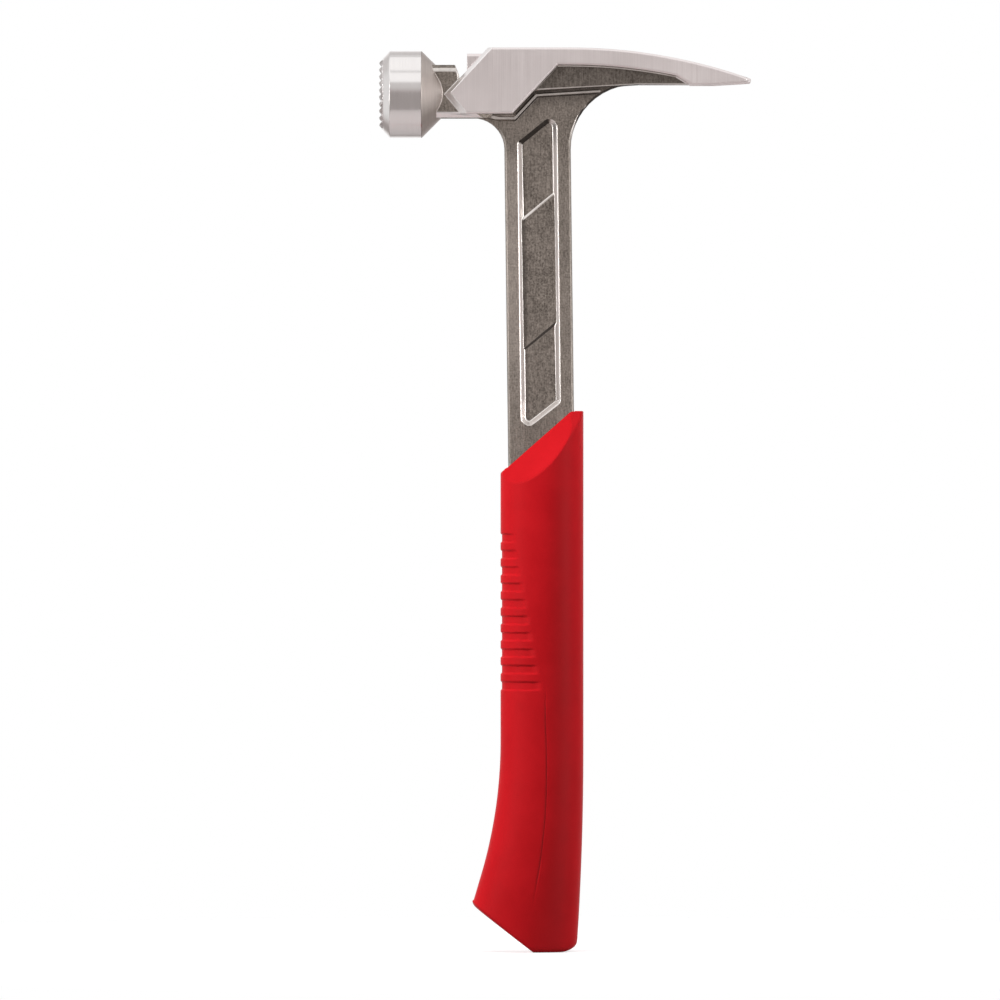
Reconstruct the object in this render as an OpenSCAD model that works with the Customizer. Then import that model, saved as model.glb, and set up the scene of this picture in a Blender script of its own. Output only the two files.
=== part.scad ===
// Framing hammer: a steel forging with a milled face, rip claw, nail setter and I-beam shank,
// a magnet in the nail setter, and a moulded grip of a hard core and a soft ribbed skin.
// Frame: millimetres, +Z up along the handle, +X towards the claw, Y across the head.
// The origin is on the handle's axis, level with the lowest point of the butt.

/* [Overall] */
// Height from the butt to the top of the head
overall_l = 381; // [372:1:400]
// Distance from the handle's axis to the milled face
face_reach = 68.6; // [65:0.2:74]
// Distance from the handle's axis to the tip of the claw
claw_reach = 88; // [80:1:96]

/* [Poll and milled face] */
// Diameter of the poll
face_d = 36.7; // [34:0.1:38]
// Length of the poll's cylinder with the rim
poll_l = 17.8; // [15:0.2:19]
// Depth of the poll's axis under the top of the head
poll_drop = 19.4; // [19:0.1:21]
// Length of the chamfer on the face's rim
rim_l = 2.4; // [1.6:0.1:3]
// Height of the chamfer on the face's rim
rim_h = 3; // [2:0.1:3.6]
// Distance from tooth to tooth on the milled face
tooth_pitch = 2.9; // [2.4:0.1:3.6]
// Depth of the milled grooves
tooth_depth = 1.2; // [0.7:0.1:1.4]
// Width of the flat left on each tooth
tooth_flat = 0.3; // [0.2:0.1:0.8]

/* [Neck] */
// Width of the neck
neck_w = 19; // [17:0.5:20]
// Height of the neck
neck_h = 22.2; // [21:0.2:23]
// Depth of the neck's top under the top of the head
neck_drop = 7.2; // [6.6:0.1:8]
// Chamfer along the neck's edges
neck_bevel = 2.1; // [1:0.1:2.8]
// Distance from the handle's axis to where the neck narrows under the cheeks
rail_start = 30; // [28:0.5:32]
// Distance from the handle's axis to the neck's end under the cheeks
rail_end = 21; // [19:0.5:23]

/* [Nail setter] */
// Width of the nail groove in the poll
groove_w = 5; // [4.6:0.1:6]
// Depth of the nail groove in the poll
groove_d = 4.4; // [4.2:0.1:5]
// Chamfer along the nail groove's foot
groove_bevel = 1; // [0.5:0.1:1.4]
// Width of the stop block behind the nail head
stop_w = 13; // [10:0.5:16]
// Depth of the stop block's top under the top of the head
stop_drop = 2.4; // [1.5:0.1:2.8]
// Chamfer along the stop block's top
stop_bevel = 1; // [0.5:0.1:1.4]
// Distance from the handle's axis to the front of the stop block
stop_reach = 31.6; // [30.6:0.1:32.4]
// Width of the nail-head gap at its foot
gap_low_w = 3.4; // [3:0.1:4]
// Width of the nail-head gap at its mouth
gap_top_w = 5.4; // [5.2:0.1:6.5]
// Depth of the nail-head gap
gap_depth = 4.4; // [4:0.1:5]
// Diameter of the magnet
magnet_d = 4.6; // [3.5:0.1:5]
// Length of the magnet
magnet_l = 3; // [2:0.5:6]
// Depth of the magnet's centre under the stop block's top
magnet_drop = 3.1; // [2.8:0.1:3.3]
// Gap round the magnet in its pocket
magnet_gap = 0.05; // [0.02:0.01:0.1]

/* [Cheeks] */
// Width of the head across the polished cheeks
head_w = 24; // [22.5:0.5:26]
// Distance from the handle's axis to the nose of the cheeks
nose_reach = 41; // [40:0.2:42]
// Depth of the nose under the top of the head
nose_drop = 19.6; // [18.6:0.2:20.6]
// Distance from the handle's axis to the lower front corner of the cheeks
chin_reach = 34.3; // [32:0.2:36]
// Distance from the handle's axis to the lower back corner of the cheeks
heel_reach = 12.4; // [10:0.2:14]
// Depth of the cheeks under the top of the head
cheek_depth = 27.8; // [26.5:0.1:28.6]
// Angle of the sloping cheek edges
cheek_slope = 47; // [44:0.5:50]
// Width of the bevel on the upper front cheek edge
upper_bevel = 1.4; // [0.8:0.1:2.2]
// Width of the bevel on the lower front cheek edge
lower_bevel = 2.3; // [1.2:0.1:3]
// Bevel on the other polished edges
edge_bevel = 0.7; // [0.3:0.1:0.8]

/* [Claw] */
// Distance from the handle's axis to the start of the claw's curve
claw_start = 11.8; // [9:0.2:16]
// Radius of the claw's top curve
claw_r = 228; // [215:1:260]
// Thickness of the polished band along the claw
band_t = 7.3; // [6:0.1:8]
// Depth of the claw's underside under the top of the head
claw_depth = 15.5; // [15.2:0.1:17]
// Thickness of the claw's tip
tip_t = 1.5; // [1.4:0.1:1.9]
// Bevel along the claw's underside
tip_bevel = 0.5; // [0.2:0.1:0.6]
// Width of the claw at its tip
tip_w = 20; // [18:0.5:22]
// Chamfer on the outer corners of the claw's tip
tip_corner = 2; // [1:0.1:3]
// Length of the tip's rising underside
tip_rise = 15; // [10:1:18]
// Distance from the handle's axis to the start of the claw's taper
taper_start = 40; // [30:1:50]
// Distance from the claw's tip to the end of the recess under the band
recess_end = 31.5; // [28:0.5:36]
// Length of the recess's slanting end
recess_slant = 6; // [4:0.5:9]
// Width of the recessed web under the band
web_w = 17; // [14:0.5:19]
// Fall of the web's underside towards the shank
web_fall = 2.6; // [1.5:0.1:3]
// Rise of the web's underside over the claw's underside
web_rise = 0.25; // [0.2:0.05:0.5]
// Length of the nail slot
slot_l = 46; // [40:1:47]
// Width of the nail slot at its root
slot_root_w = 2.6; // [2.2:0.1:3.4]
// Width of the nail slot at the tip
slot_mouth_w = 10.4; // [9:0.2:12]
// Bevel along the nail slot on the underside
slot_bevel = 1.6; // [0.8:0.1:2]

/* [Shank] */
// Width of the shank from front to back
shank_w = 28; // [26:0.2:29]
// Thickness of the shank
shank_t = 8; // [7:0.2:9]
// Lean of the shank towards the face
shank_lean = 0.7; // [0:0.1:1]
// Distance of the shank's middle line from the handle's axis at the grip's mouth
shank_shift = 0.4; // [0:0.1:0.8]
// Bevel along the shank's edges
shank_bevel = 0.8; // [0.4:0.1:1.2]
// Radius under the neck
front_fillet = 13.1; // [11:0.1:15]
// Radius under the claw
back_fillet = 27.2; // [24:0.2:29]
// Width of the pocket in the shank's sides
pocket_w = 16.7; // [14:0.1:18]
// Depth of the pocket in the shank's sides
pocket_depth = 2; // [1.4:0.1:2.4]
// Width of the pocket's sloping wall
pocket_wall = 1.9; // [1.4:0.1:2.4]
// Angle of the pocket's slanting ends
pocket_slope = 39; // [34:1:42]
// Depth of the pocket's upper end under the top of the head
pocket_top = 32.9; // [32:0.1:36]
// Distance from the grip's mouth to the pocket's lower end
pocket_gap = 7.6; // [6:0.1:11]
// Radius of the pocket's sharp corners
pocket_round = 3.4; // [2.6:0.1:4]
// Radius of the pocket's blunt corners
pocket_blunt = 1.4; // [0.8:0.1:2.4]
// Distance from the pocket's lower end to the raised panel
panel_start = 33.9; // [28:0.1:40]
// Length of the raised panel
panel_l = 56.2; // [45:0.1:60]
// Height of the raised middle panel in the pocket
panel_h = 0.6; // [0.3:0.1:0.9]
// Height of the bead round the head of the shank
bead_h = 0.9; // [0.4:0.1:1.2]
// Width of the bead round the head of the shank
bead_w = 2.4; // [2:0.1:2.8]
// Width of the bead's sloping sides
bead_side = 0.6; // [0.3:0.1:0.9]
// Length of the bead's start inside the neck
bead_lead = 5; // [4:0.5:6]
// Rise of the bead's start inside the neck
bead_rise = 1.7; // [1:0.1:2.5]
// Gap between the bead and the head over it
bead_gap = 0.7; // [0.4:0.1:1]

/* [Tang] */
// Width of the tang in the grip
tang_w = 18; // [14:0.5:20]
// Distance of the tang's middle line from the handle's axis
tang_shift = 1; // [0:0.2:2]
// Chamfer on the tang's lower corners
tang_corner = 4; // [2:0.5:6]
// Height of the tang's lower end over the butt
tang_end = 42; // [36:1:50]
// Diameter of the lock holes
lock_d = 8; // [5:0.5:10]
// Number of lock holes
lock_count = 3; // [1:1:3]
// Distance from the tang's lower end to the first lock hole
lock_start = 18; // [14:1:24]
// Distance between the lock holes
lock_pitch = 46; // [30:1:50]
// Shrink gap between moulded pieces and steel
mould_gap = 0.05; // [0.02:0.01:0.1]
// Gap over the core's top
core_gap = 0.5; // [0.4:0.05:0.7]

/* [Grip] */
// Width of the grip from front to back
grip_w = 35; // [34:0.2:37]
// Thickness of the grip
grip_t = 26; // [24:0.5:30]
// Thickness of the grip at the butt
butt_t = 29; // [26:0.5:33]
// Place of the grip's thickest line between front and back
crest = 0.54; // [0.46:0.01:0.58]
// Roundness of the grip's section
roundness = 0.44; // [0.4:0.01:0.5]
// Height of the grip's mouth on the handle's axis
mouth_z = 217.3; // [212:0.1:222]
// Slope of the grip's mouth
mouth_slope = 41.4; // [36:0.2:44]
// Height of the flat at the mouth's back
mouth_top = 228; // [226:0.2:231]
// Fall of the mouth's facets for each millimetre outwards
mouth_fall = 1.65; // [1.2:0.05:1.8]
// Depth of the skin's lip round the shank
lip = 6; // [4:0.5:8]
// Wall of the soft skin round the core
skin_wall = 4; // [3:0.1:4.2]
// Wall of the soft skin under the core
butt_wall = 24; // [22:1:28]
// Height over which the slanted butt blends into the grip
butt_blend = 10; // [8:1:14]
// Height at which the front starts to flare
flare_z = 89; // [85:1:95]
// Radius of the flare
flare_r = 200; // [180:1:240]
// Angle at the end of the flare
flare_angle = 16.5; // [14:0.1:18]
// Height at which the back starts to draw in
tail_z = 85; // [78:1:92]
// Radius of the drawn-in back
tail_r = 1250; // [900:10:1800]
// Angle of the slanted butt
butt_angle = 37.6; // [34:0.2:40]
// Distance from the handle's axis to the butt's front corner
butt_front = 3.8; // [2:0.2:5]
// Distance from the grip's back to the end of the butt's flat
tail_in = 10; // [8:0.5:12]
// Radius of the butt's back corner
tail_round = 10; // [8:0.5:14]
// Rounding of the butt's edges
butt_round = 1.6; // [1:0.1:2]

/* [Ribs] */
// Number of finger grooves on the front of the grip
rib_count = 10; // [8:1:10]
// Height of the top groove
rib_top = 174.4; // [172:0.2:176]
// Distance from groove to groove
rib_pitch = 6.92; // [6.4:0.02:7]
// Width of a groove
rib_w = 4.1; // [3:0.1:4.6]
// Depth of a groove
rib_depth = 0.6; // [0.3:0.1:1]
// Width of a groove's sloping edge
rib_edge = 0.6; // [0.4:0.1:0.9]
// Distance from the handle's axis to the end of the top groove
rib_reach_top = 11; // [8:0.5:13]
// Distance from the handle's axis to the end of the bottom groove
rib_reach_low = 0; // [-2:0.5:4]
// Length over which a groove fades out
rib_fade = 3; // [1:0.5:5]

/* [Hidden] */

steel_colour = [0.56, 0.54, 0.52];
magnet_colour = [0.75, 0.75, 0.77];
core_colour = [0.12, 0.12, 0.13];
skin_colour = [0.80, 0.12, 0.14];

face_r = face_d / 2;
poll_z = overall_l - poll_drop;
poll_end = poll_l - face_reach;
half_neck = neck_w / 2;
half_head = head_w / 2;
half_shank = shank_t / 2;
neck_low = neck_drop + neck_h;
claw_low = overall_l - claw_depth;
web_low = claw_low + web_rise;
half_web = web_w / 2;
slot_root = claw_reach - slot_l;
lean = tan(shank_lean);
mouth_tan = tan(mouth_slope);
core_wall = skin_wall + mould_gap;
rib_low = rib_top - (rib_count - 1) * rib_pitch;
// Columns round the grip
grip_cols = 48;
// Levels down the flare, and rings down the slanted butt as shares of its blend
flare_steps = 7;
butt_shares = [0.2, 0.45, 0.7];
// Turns of the rounding at the butt's edge
edge_turns = [0, 45, 90];
// Steps along the band before the taper, its underside past it and its top past it
band_steps = 4;
under_steps = 4;
top_steps = 6;
// Steps along the web's top, the shank's two radii and a pocket corner
web_steps = 8;
back_steps = 12;
front_steps = 10;
corner_steps = 5;
// Facets round the poll and round small holes
poll_fn = 128;
hole_fn = 48;
// Least radius of a pocket corner
least_round = 0.3;
// How far the panel and the slot's bevel run into what they meet
blend = 0.3;
// Edges closer to parallel than this share one normal
parallel = 0.0001;
// How far joined forms run into each other
sink = 3;
// How far a cut runs past the surface
over = 1;

function mix(a, b, t) = a + (b - a) * t;
function clamp(v, low, high) = max(low, min(high, v));
function arc(c, r, a0, a1, n) = [for (i = [0:n])
    let (a = mix(a0, a1, i / n))
    c + r * [cos(a), sin(a)]];

// Left-hand normal of the edge from a to b
function normal(a, b) = [a[1] - b[1], b[0] - a[0]] / norm(b - a);

// Shift of a corner between two edges that each move along their normal
function corner_shift(n1, d1, n2, d2) =
    let (det = n1[0] * n2[1] - n1[1] * n2[0])
    abs(det) < parallel ? n1 * d1
    : [d1 * n2[1] - d2 * n1[1], d2 * n1[0] - d1 * n2[0]] / det;

// Closed outline with each edge moved inwards by its own distance
function inset(points, dists) =
    let (n = len(points))
    [for (i = [0:n - 1])
        let (before = (i + n - 1) % n, after = (i + 1) % n)
        points[i] + corner_shift(
            normal(points[before], points[i]), dists[before],
            normal(points[i], points[after]), dists[i])];

// Open path moved to its right by one distance
function beside(points, d) =
    let (n = len(points))
    [for (i = [0:n - 1])
        let (before = normal(points[max(i - 1, 0)], points[max(i, 1)]),
            after = normal(points[min(i, n - 2)], points[min(i + 1, n - 1)]))
        points[i] - corner_shift(before, d, after, d)];

// Closed outline with a radius at each corner
function rounded(points, radii, steps) =
    let (n = len(points))
    [for (i = [0:n - 1])
        let (p = points[i],
            u = points[(i + n - 1) % n] - p,
            v = points[(i + 1) % n] - p,
            half = acos(u * v / norm(u) / norm(v)) / 2,
            way = u / norm(u) + v / norm(v),
            c = p + way / norm(way) * radii[i] / sin(half),
            mid = atan2(-way[1], -way[0]))
        each arc(c, radii[i], mid - (90 - half), mid + (90 - half), steps)];

// Outline in X and Z placed at one Y
function at_y(points, y) = [for (p = points) [p[0], y, p[1]]];

// Outline in X and Y placed at one Z
function at_z(points, z) = [for (p = points) [p[0], p[1], z]];

// Solid through rings of equal length, with flat ends or ends in strips across the ring
module loft(rings, strips = false) {
    n = len(rings[0]);
    last = (len(rings) - 1) * n;
    sides = [for (i = [0:len(rings) - 2], j = [0:n - 1])
        let (k = (j + 1) % n)
        each [[i * n + j, i * n + n + j, i * n + n + k], [i * n + j, i * n + n + k, i * n + k]]];
    flat_ends = [[for (j = [0:n - 1]) j], [for (j = [0:n - 1]) last + n - 1 - j]];
    strip_ends = [for (j = [0:n / 2 - 1])
        let (a = j, b = j + 1, c = n - j - 1, d = (n - j) % n)
        each concat(
            c == b ? [] : [[a, b, c], [last + c, last + b, last + a]],
            d == a ? [] : [[a, c, d], [last + d, last + c, last + a]])];
    polyhedron([for (r = rings) each r], concat(sides, strips ? strip_ends : flat_ends));
}

// Plate with an outline in X and Z, centred on Y
module side_plate(points, thickness) {
    rotate([90, 0, 0]) linear_extrude(height = thickness, center = true) polygon(points);
}

// Head outlines

function claw_curve(r, x) = overall_l - claw_r + sqrt(r * r - (x - claw_start) * (x - claw_start));
function curve_angle(r, x) = acos((x - claw_start) / r);
function curve(r, x0, x1, n) =
    arc([claw_start, overall_l - claw_r], r, curve_angle(r, x0), curve_angle(r, x1), n);

heel = [-heel_reach, overall_l - cheek_depth];
crook = [(cheek_depth - band_t) / tan(cheek_slope) - heel_reach, overall_l - band_t];
brow = [nose_drop / tan(cheek_slope) - nose_reach, overall_l];
band_end = claw_reach - recess_end;
tip_top = claw_curve(claw_r, claw_reach);

// Each curve has a point at the start of the taper, as far along the outline from the nose as the other
function but_first(points) = [for (i = [1:len(points) - 1]) points[i]];
under_curve = concat(
    curve(claw_r - band_t, claw_start, taper_start, band_steps),
    but_first(curve(claw_r - band_t, taper_start, band_end, under_steps)));
top_curve = concat(
    curve(claw_r, claw_reach, taper_start, top_steps),
    but_first(curve(claw_r, taper_start, claw_start, band_steps + 1)));
head_outline = concat(
    [[-nose_reach, overall_l - nose_drop], [-chin_reach, heel[1]], heel, crook],
    under_curve,
    [[band_end + recess_slant, claw_low], [claw_reach - tip_rise, claw_low], [claw_reach, tip_top - tip_t]],
    top_curve,
    [[heel[0] + sink, overall_l], brow]);

// Inset of each head edge: lower front, recess walls, underside, tip and top, upper front
function head_inset(low, wall, under, top, up) = concat(
    [low],
    [for (i = [1:3 + len(under_curve)]) wall],
    [under, under],
    [for (i = [0:len(top_curve) + 1]) top],
    [up]);

// The claw draws in from the start of its taper to its tip
half_tip = tip_w / 2;
draw_in = (half_head - half_tip) / (claw_reach - taper_start);
function taper_at(x) = draw_in * max(0, x - taper_start);

// The front bevels start at the neck's side, and the other bevels close to the cheek
function head_ring(y) =
    let (t = (abs(y) - half_neck) / (half_head - half_neck),
        e = abs(y) == half_head ? 1 : 0,
        edge = e * edge_bevel,
        line = inset(head_outline,
            head_inset(lower_bevel * t, edge, e * tip_bevel, edge, upper_bevel * t)))
    [for (i = [0:len(line) - 1])
        [line[i][0], y - sign(y) * taper_at(head_outline[i][0]), line[i][1]]];

// The web's underside runs from the sloping cheek edge to the claw's underside
web_drop = claw_depth + web_fall;
web_nose = [(cheek_depth - web_drop) / tan(cheek_slope) - heel_reach, overall_l - web_drop];
web_tail = [slot_root - over, web_low];
web_root = web_nose + (web_nose - web_tail) / norm(web_nose - web_tail) * 2 * sink;

// Shank lines

function shank_at(u, z) = [u - shank_shift - lean * (z - mouth_z), z];

// Point on a line along the shank at a depth under the slanted mouth
function under_mouth(u, depth) =
    let (x = (u - shank_shift + lean * depth) / (1 + lean * mouth_tan))
    [x, mouth_z + x * mouth_tan - depth];

front_c = shank_at(-shank_w / 2 - front_fillet / cos(shank_lean), overall_l - neck_low - front_fillet);
back_c = shank_at(shank_w / 2 + back_fillet / cos(shank_lean), web_low - back_fillet);
back_arc = arc(back_c, back_fillet, 180 + shank_lean, 90, back_steps);
front_arc = arc(front_c, front_fillet, 90, shank_lean, front_steps);
shank_outline = concat(
    [under_mouth(-shank_w / 2, lip), under_mouth(shank_w / 2, lip)],
    back_arc,
    [[back_c[0], web_low + sink], crook - [2 * sink, sink],
        [front_c[0] + sink, heel[1] + 2 * sink], [front_c[0], overall_l - neck_low + sink]],
    front_arc);
shank_edges = concat(
    [0],
    [for (i = [0:len(back_arc) - 1]) 1],
    [0, 0, 0, 0, 0],
    [for (i = [1:len(front_arc)]) 1]);

pocket_high = overall_l - pocket_top;
pocket_low = mouth_z + pocket_gap;
pocket_tan = tan(pocket_slope);
function slant_at(u, z) = shank_at(u, z + u * pocket_tan);
pocket_outline = [slant_at(-pocket_w / 2, pocket_low), slant_at(pocket_w / 2, pocket_low),
    slant_at(pocket_w / 2, pocket_high), slant_at(-pocket_w / 2, pocket_high)];
pocket_slide = pocket_wall / pocket_depth;

function pocket_ring(depth) =
    let (d = depth * pocket_slide,
        sharp = max(pocket_round - d, least_round),
        blunt = max(pocket_blunt - d, least_round),
        radii = [sharp, blunt, sharp, blunt])
    at_y(rounded(inset(pocket_outline, [d, d, d, d]), radii, corner_steps), half_shank - depth);

// The raised panel fills the middle of the pocket between two slanting steps
panel_low = pocket_low + panel_start;
panel_high = panel_low + panel_l;
panel_side = pocket_w / 2 - pocket_wall + panel_h * pocket_slide + blend;
panel_outline = [slant_at(-panel_side, panel_low), slant_at(panel_side, panel_low),
    slant_at(panel_side, panel_high), slant_at(-panel_side, panel_high)];

function panel_ring(h) = at_y(inset(panel_outline, [h, 0, h, 0]), half_shank - pocket_depth + h);

// The bead leaves the neck, follows the head's lower edge and ends at the radius under the claw
bead_room = back_fillet - bead_gap - bead_w - web_fall / 2;
bead_end = back_c[0] - sqrt(back_fillet * back_fillet - bead_room * bead_room);
bead_path = [[-rail_end - bead_lead, heel[1] + bead_rise], [-rail_end + sink, heel[1]], heel, web_nose,
    mix(web_nose, web_tail, (bead_end - web_nose[0]) / (web_tail[0] - web_nose[0]))];
function bead_ring(y, trim) =
    let (near = beside(bead_path, bead_gap + trim),
        far = beside(bead_path, bead_gap + bead_w - trim),
        n = len(far))
    at_y(concat(far, [for (i = [n - 1:-1:0]) near[i]]), y);

// Tang lines

tang_front = -tang_shift - tang_w / 2;
tang_back = -tang_shift + tang_w / 2;
function tang_top(x) = [x, mouth_z + x * mouth_tan - lip + sink];
tang_outline = [
    [tang_front + tang_corner, tang_end], [tang_back - tang_corner, tang_end],
    [tang_back, tang_end + tang_corner], tang_top(tang_back),
    tang_top(tang_front), [tang_front, tang_end + tang_corner]];

module lock_bars(d, length) {
    for (i = [0:lock_count - 1]) {
        translate([-tang_shift, 0, tang_end + lock_start + i * lock_pitch])
            rotate([90, 0, 0]) cylinder(d = d, h = length, center = true, $fn = hole_fn);
    }
}

// Grip lines

function flare(drop) =
    let (knee = flare_r * sin(flare_angle))
    drop <= 0 ? 0
    : drop < knee ? flare_r - sqrt(flare_r * flare_r - drop * drop)
    : flare_r * (1 - cos(flare_angle)) + (drop - knee) * tan(flare_angle);
function front_x(z) = -grip_w / 2 - flare(flare_z - z);
function back_x(z) = grip_w / 2 - (z < tail_z ? (tail_z - z) * (tail_z - z) / 2 / tail_r : 0);
function half_t(z) = z > flare_z ? grip_t / 2 : mix(grip_t, butt_t, sin(90 * (flare_z - z) / flare_z)) / 2;

// Depth of the finger grooves at one place on the grip's front
function groove_at(x, z) =
    let (n = (rib_top - z) / rib_pitch,
        off = abs(n - round(n)) * rib_pitch,
        reach = -mix(rib_reach_top, rib_reach_low, clamp(n / (rib_count - 1), 0, 1)),
        fade = clamp((reach - x) / rib_fade, 0, 1))
    n < -0.5 || n > rib_count - 0.5 ? 0
    : rib_depth * fade * clamp((rib_w / 2 - off) / rib_edge, 0, 1);

// Point of one column round the grip, drawn in from the outside by a wall
function grip_at(j, z, wall) =
    let (c = cos(360 * j / grip_cols),
        half = grip_cols / 2,
        side = j % half == 0 ? 0 : j < half ? 1 : -1,
        x0 = front_x(z) + wall,
        x1 = back_x(z) - wall,
        mid = mix(x0, x1, crest),
        x = c > 0 ? mix(mid, x1, c) : mix(mid, x0, -c),
        y = (half_t(z) - wall) * side * pow(max(1 - c * c, 0), roundness))
    [x, y, z];

// Point on the grip's outside, sunk where a finger groove runs
function skin_at(j, z) =
    let (p = grip_at(j, z, 0),
        d = groove_at(p[0], z),
        mid = mix(front_x(z), back_x(z), crest),
        way = [(p[0] - mid) / (grip_w * grip_w), p[1] / (grip_t * grip_t), 0])
    d > 0 ? p - d * way / norm(way) : p;

// The mouth slopes along the shank's faces up to a flat, and has facets outside them
half_mouth = half_shank + mould_gap;
function mouth_at(x, y, depth) =
    min(mouth_z + x * mouth_tan, mouth_top) - mouth_fall * max(0, abs(y) - half_mouth) - depth;

function butt_at(x) =
    let (tail = x - grip_w / 2 + tail_in)
    x < -butt_front ? (-butt_front - x) * tan(butt_angle)
    : tail > 0 ? tail * tail / 2 / tail_round
    : 0;

// Height at which a column ends on the butt
function column_low(j, z = 0, turns = 6) =
    turns == 0 ? z : column_low(j, butt_at(grip_at(j, z, 0)[0]), turns - 1);

// Ring on the slanted mouth or on the core's top, drawn in from the outside by a wall
function mouth_ring(wall, depth) = [for (j = [0:grip_cols - 1])
    let (p = grip_at(j, mouth_z, wall))
    [p[0], p[1], mouth_at(p[0], p[1], depth)]];

// Ring of the opening round the shank
function opening_ring(depth) =
    let (low = under_mouth(-shank_w / 2 - mould_gap, depth)[0],
        high = under_mouth(shank_w / 2 + mould_gap, depth)[0])
    [for (j = [0:grip_cols - 1])
        let (p = grip_at(j, mouth_z, 0),
            x = clamp(p[0], low, high),
            y = clamp(p[1], -half_mouth, half_mouth))
        [x, y, mouth_at(x, y, depth)]];

// Ring on the core's top at the tang's faces
function ridge_ring(depth) = [for (j = [0:grip_cols - 1])
    let (p = grip_at(j, mouth_z, core_wall + over),
        y = clamp(p[1], -half_mouth, half_mouth))
    [p[0], y, mouth_at(p[0], y, depth)]];

function butt_ring(share) = [for (j = [0:grip_cols - 1])
    grip_at(j, mix(column_low(j), ring_low, share), 0)];

// Ring of the rounding between the butt and the grip's side
function edge_ring(turn) = [for (j = [0:grip_cols - 1])
    let (p = grip_at(j, column_low(j), butt_round * (1 - sin(turn))))
    [p[0], p[1], butt_at(p[0]) + butt_round * (1 - cos(turn))]];
function skin_ring(z) = [for (j = [0:grip_cols - 1]) skin_at(j, z)];
function core_ring(z, wall) = [for (j = [0:grip_cols - 1]) grip_at(j, z, wall)];

// Levels of the rings between the slanted butt and the slanted mouth
ring_low = butt_wall + butt_blend;
ring_high = min([for (p = mouth_ring(0, 0)) p[2]]) - sink;
groove_levels = [for (i = [rib_count - 1:-1:0])
    let (z = rib_top - i * rib_pitch)
    each [z - rib_w / 2, z - rib_w / 2 + rib_edge, z + rib_w / 2 - rib_edge, z + rib_w / 2]];
flare_levels = [for (i = [0:flare_steps]) mix(ring_low, rib_low - rib_w, i / flare_steps)];
skin_levels = concat(flare_levels, groove_levels, [ring_high]);
core_levels = concat([butt_wall], flare_levels, [ring_high - lip]);

// Sub-parts

module milled_poll() {
    rows = ceil((face_r - rim_h) / tooth_pitch) - 1;
    cone_r = half_neck - over;
    cone_end = poll_l + face_r - cone_r;
    difference() {
        translate([-face_reach, 0, poll_z]) rotate([0, 90, 0]) rotate_extrude($fn = poll_fn)
            polygon([[0, 0], [face_r - rim_h, 0], [face_r, rim_l], [face_r, poll_l],
                [cone_r, cone_end], [0, cone_end]]);
        for (i = [-rows:rows]) {
            translate([-face_reach, 0, poll_z + i * tooth_pitch]) face_groove();
            translate([-face_reach, i * tooth_pitch, poll_z]) rotate([90, 0, 0]) face_groove();
        }
        nail_groove();
    }
}

// One milled groove across the face
module face_groove() {
    half_w = (tooth_pitch - tooth_flat) / 2 * (tooth_depth + over) / tooth_depth;
    rotate([90, 0, 0]) linear_extrude(height = face_d + 2 * over, center = true)
        polygon([[-over, -half_w], [tooth_depth, 0], [-over, half_w]]);
}

module nail_groove() {
    low = face_r - groove_d;
    half_w = groove_w / 2;
    foot = groove_bevel;
    translate([-face_reach - over, 0, poll_z]) rotate([90, 0, 90])
        linear_extrude(height = poll_l + groove_d + sink)
            polygon([[-half_w + foot, low], [half_w - foot, low], [half_w, low + foot],
                [half_w, face_r + over], [-half_w, face_r + over], [-half_w, low + foot]]);
}

module neck() {
    low = overall_l - neck_low;
    high = overall_l - neck_drop;
    front = poll_end - sink;
    gap_foot = high - gap_depth;
    flat = half_neck - neck_bevel;
    intersection() {
        translate([front, 0, 0]) rotate([90, 0, 90]) linear_extrude(height = -rail_end - front)
            polygon([[-flat, low], [flat, low], [half_neck, low + neck_bevel],
                [half_neck, high - neck_bevel], [flat, high], [-flat, high],
                [-half_neck, high - neck_bevel], [-half_neck, low + neck_bevel]]);
        side_plate([[front - over, low - over], [over - rail_end, low - over],
            [over - rail_end, gap_foot - sink], [-stop_reach - gap_low_w, gap_foot - sink],
            [-stop_reach - gap_low_w, gap_foot],
            [-stop_reach - gap_top_w, high + over], [front - over, high + over]], neck_w + 2 * over);
        translate([0, 0, low - over]) linear_extrude(height = neck_h + 2 * over)
            polygon([[front - over, -half_neck - over], [-rail_start, -half_neck - over],
                [over - rail_end, -half_shank], [over - rail_end, half_shank],
                [-rail_start, half_neck + over], [front - over, half_neck + over]]);
    }
}

module stop_block() {
    high = overall_l - stop_drop;
    low = overall_l - nose_drop + (nose_reach - stop_reach) * tan(cheek_slope) - sink;
    half_w = stop_w / 2;
    flat = half_w - stop_bevel;
    translate([-stop_reach, 0, 0]) rotate([90, 0, 90]) linear_extrude(height = stop_reach + brow[0] + sink)
        polygon([[-half_w, low], [half_w, low], [half_w, high - stop_bevel], [flat, high],
            [-flat, high], [-half_w, high - stop_bevel]]);
}

module magnet_shape(d, l) {
    translate([-stop_reach, 0, overall_l - stop_drop - magnet_drop])
        rotate([0, 90, 0]) cylinder(d = d, h = l, $fn = hole_fn);
}

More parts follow.
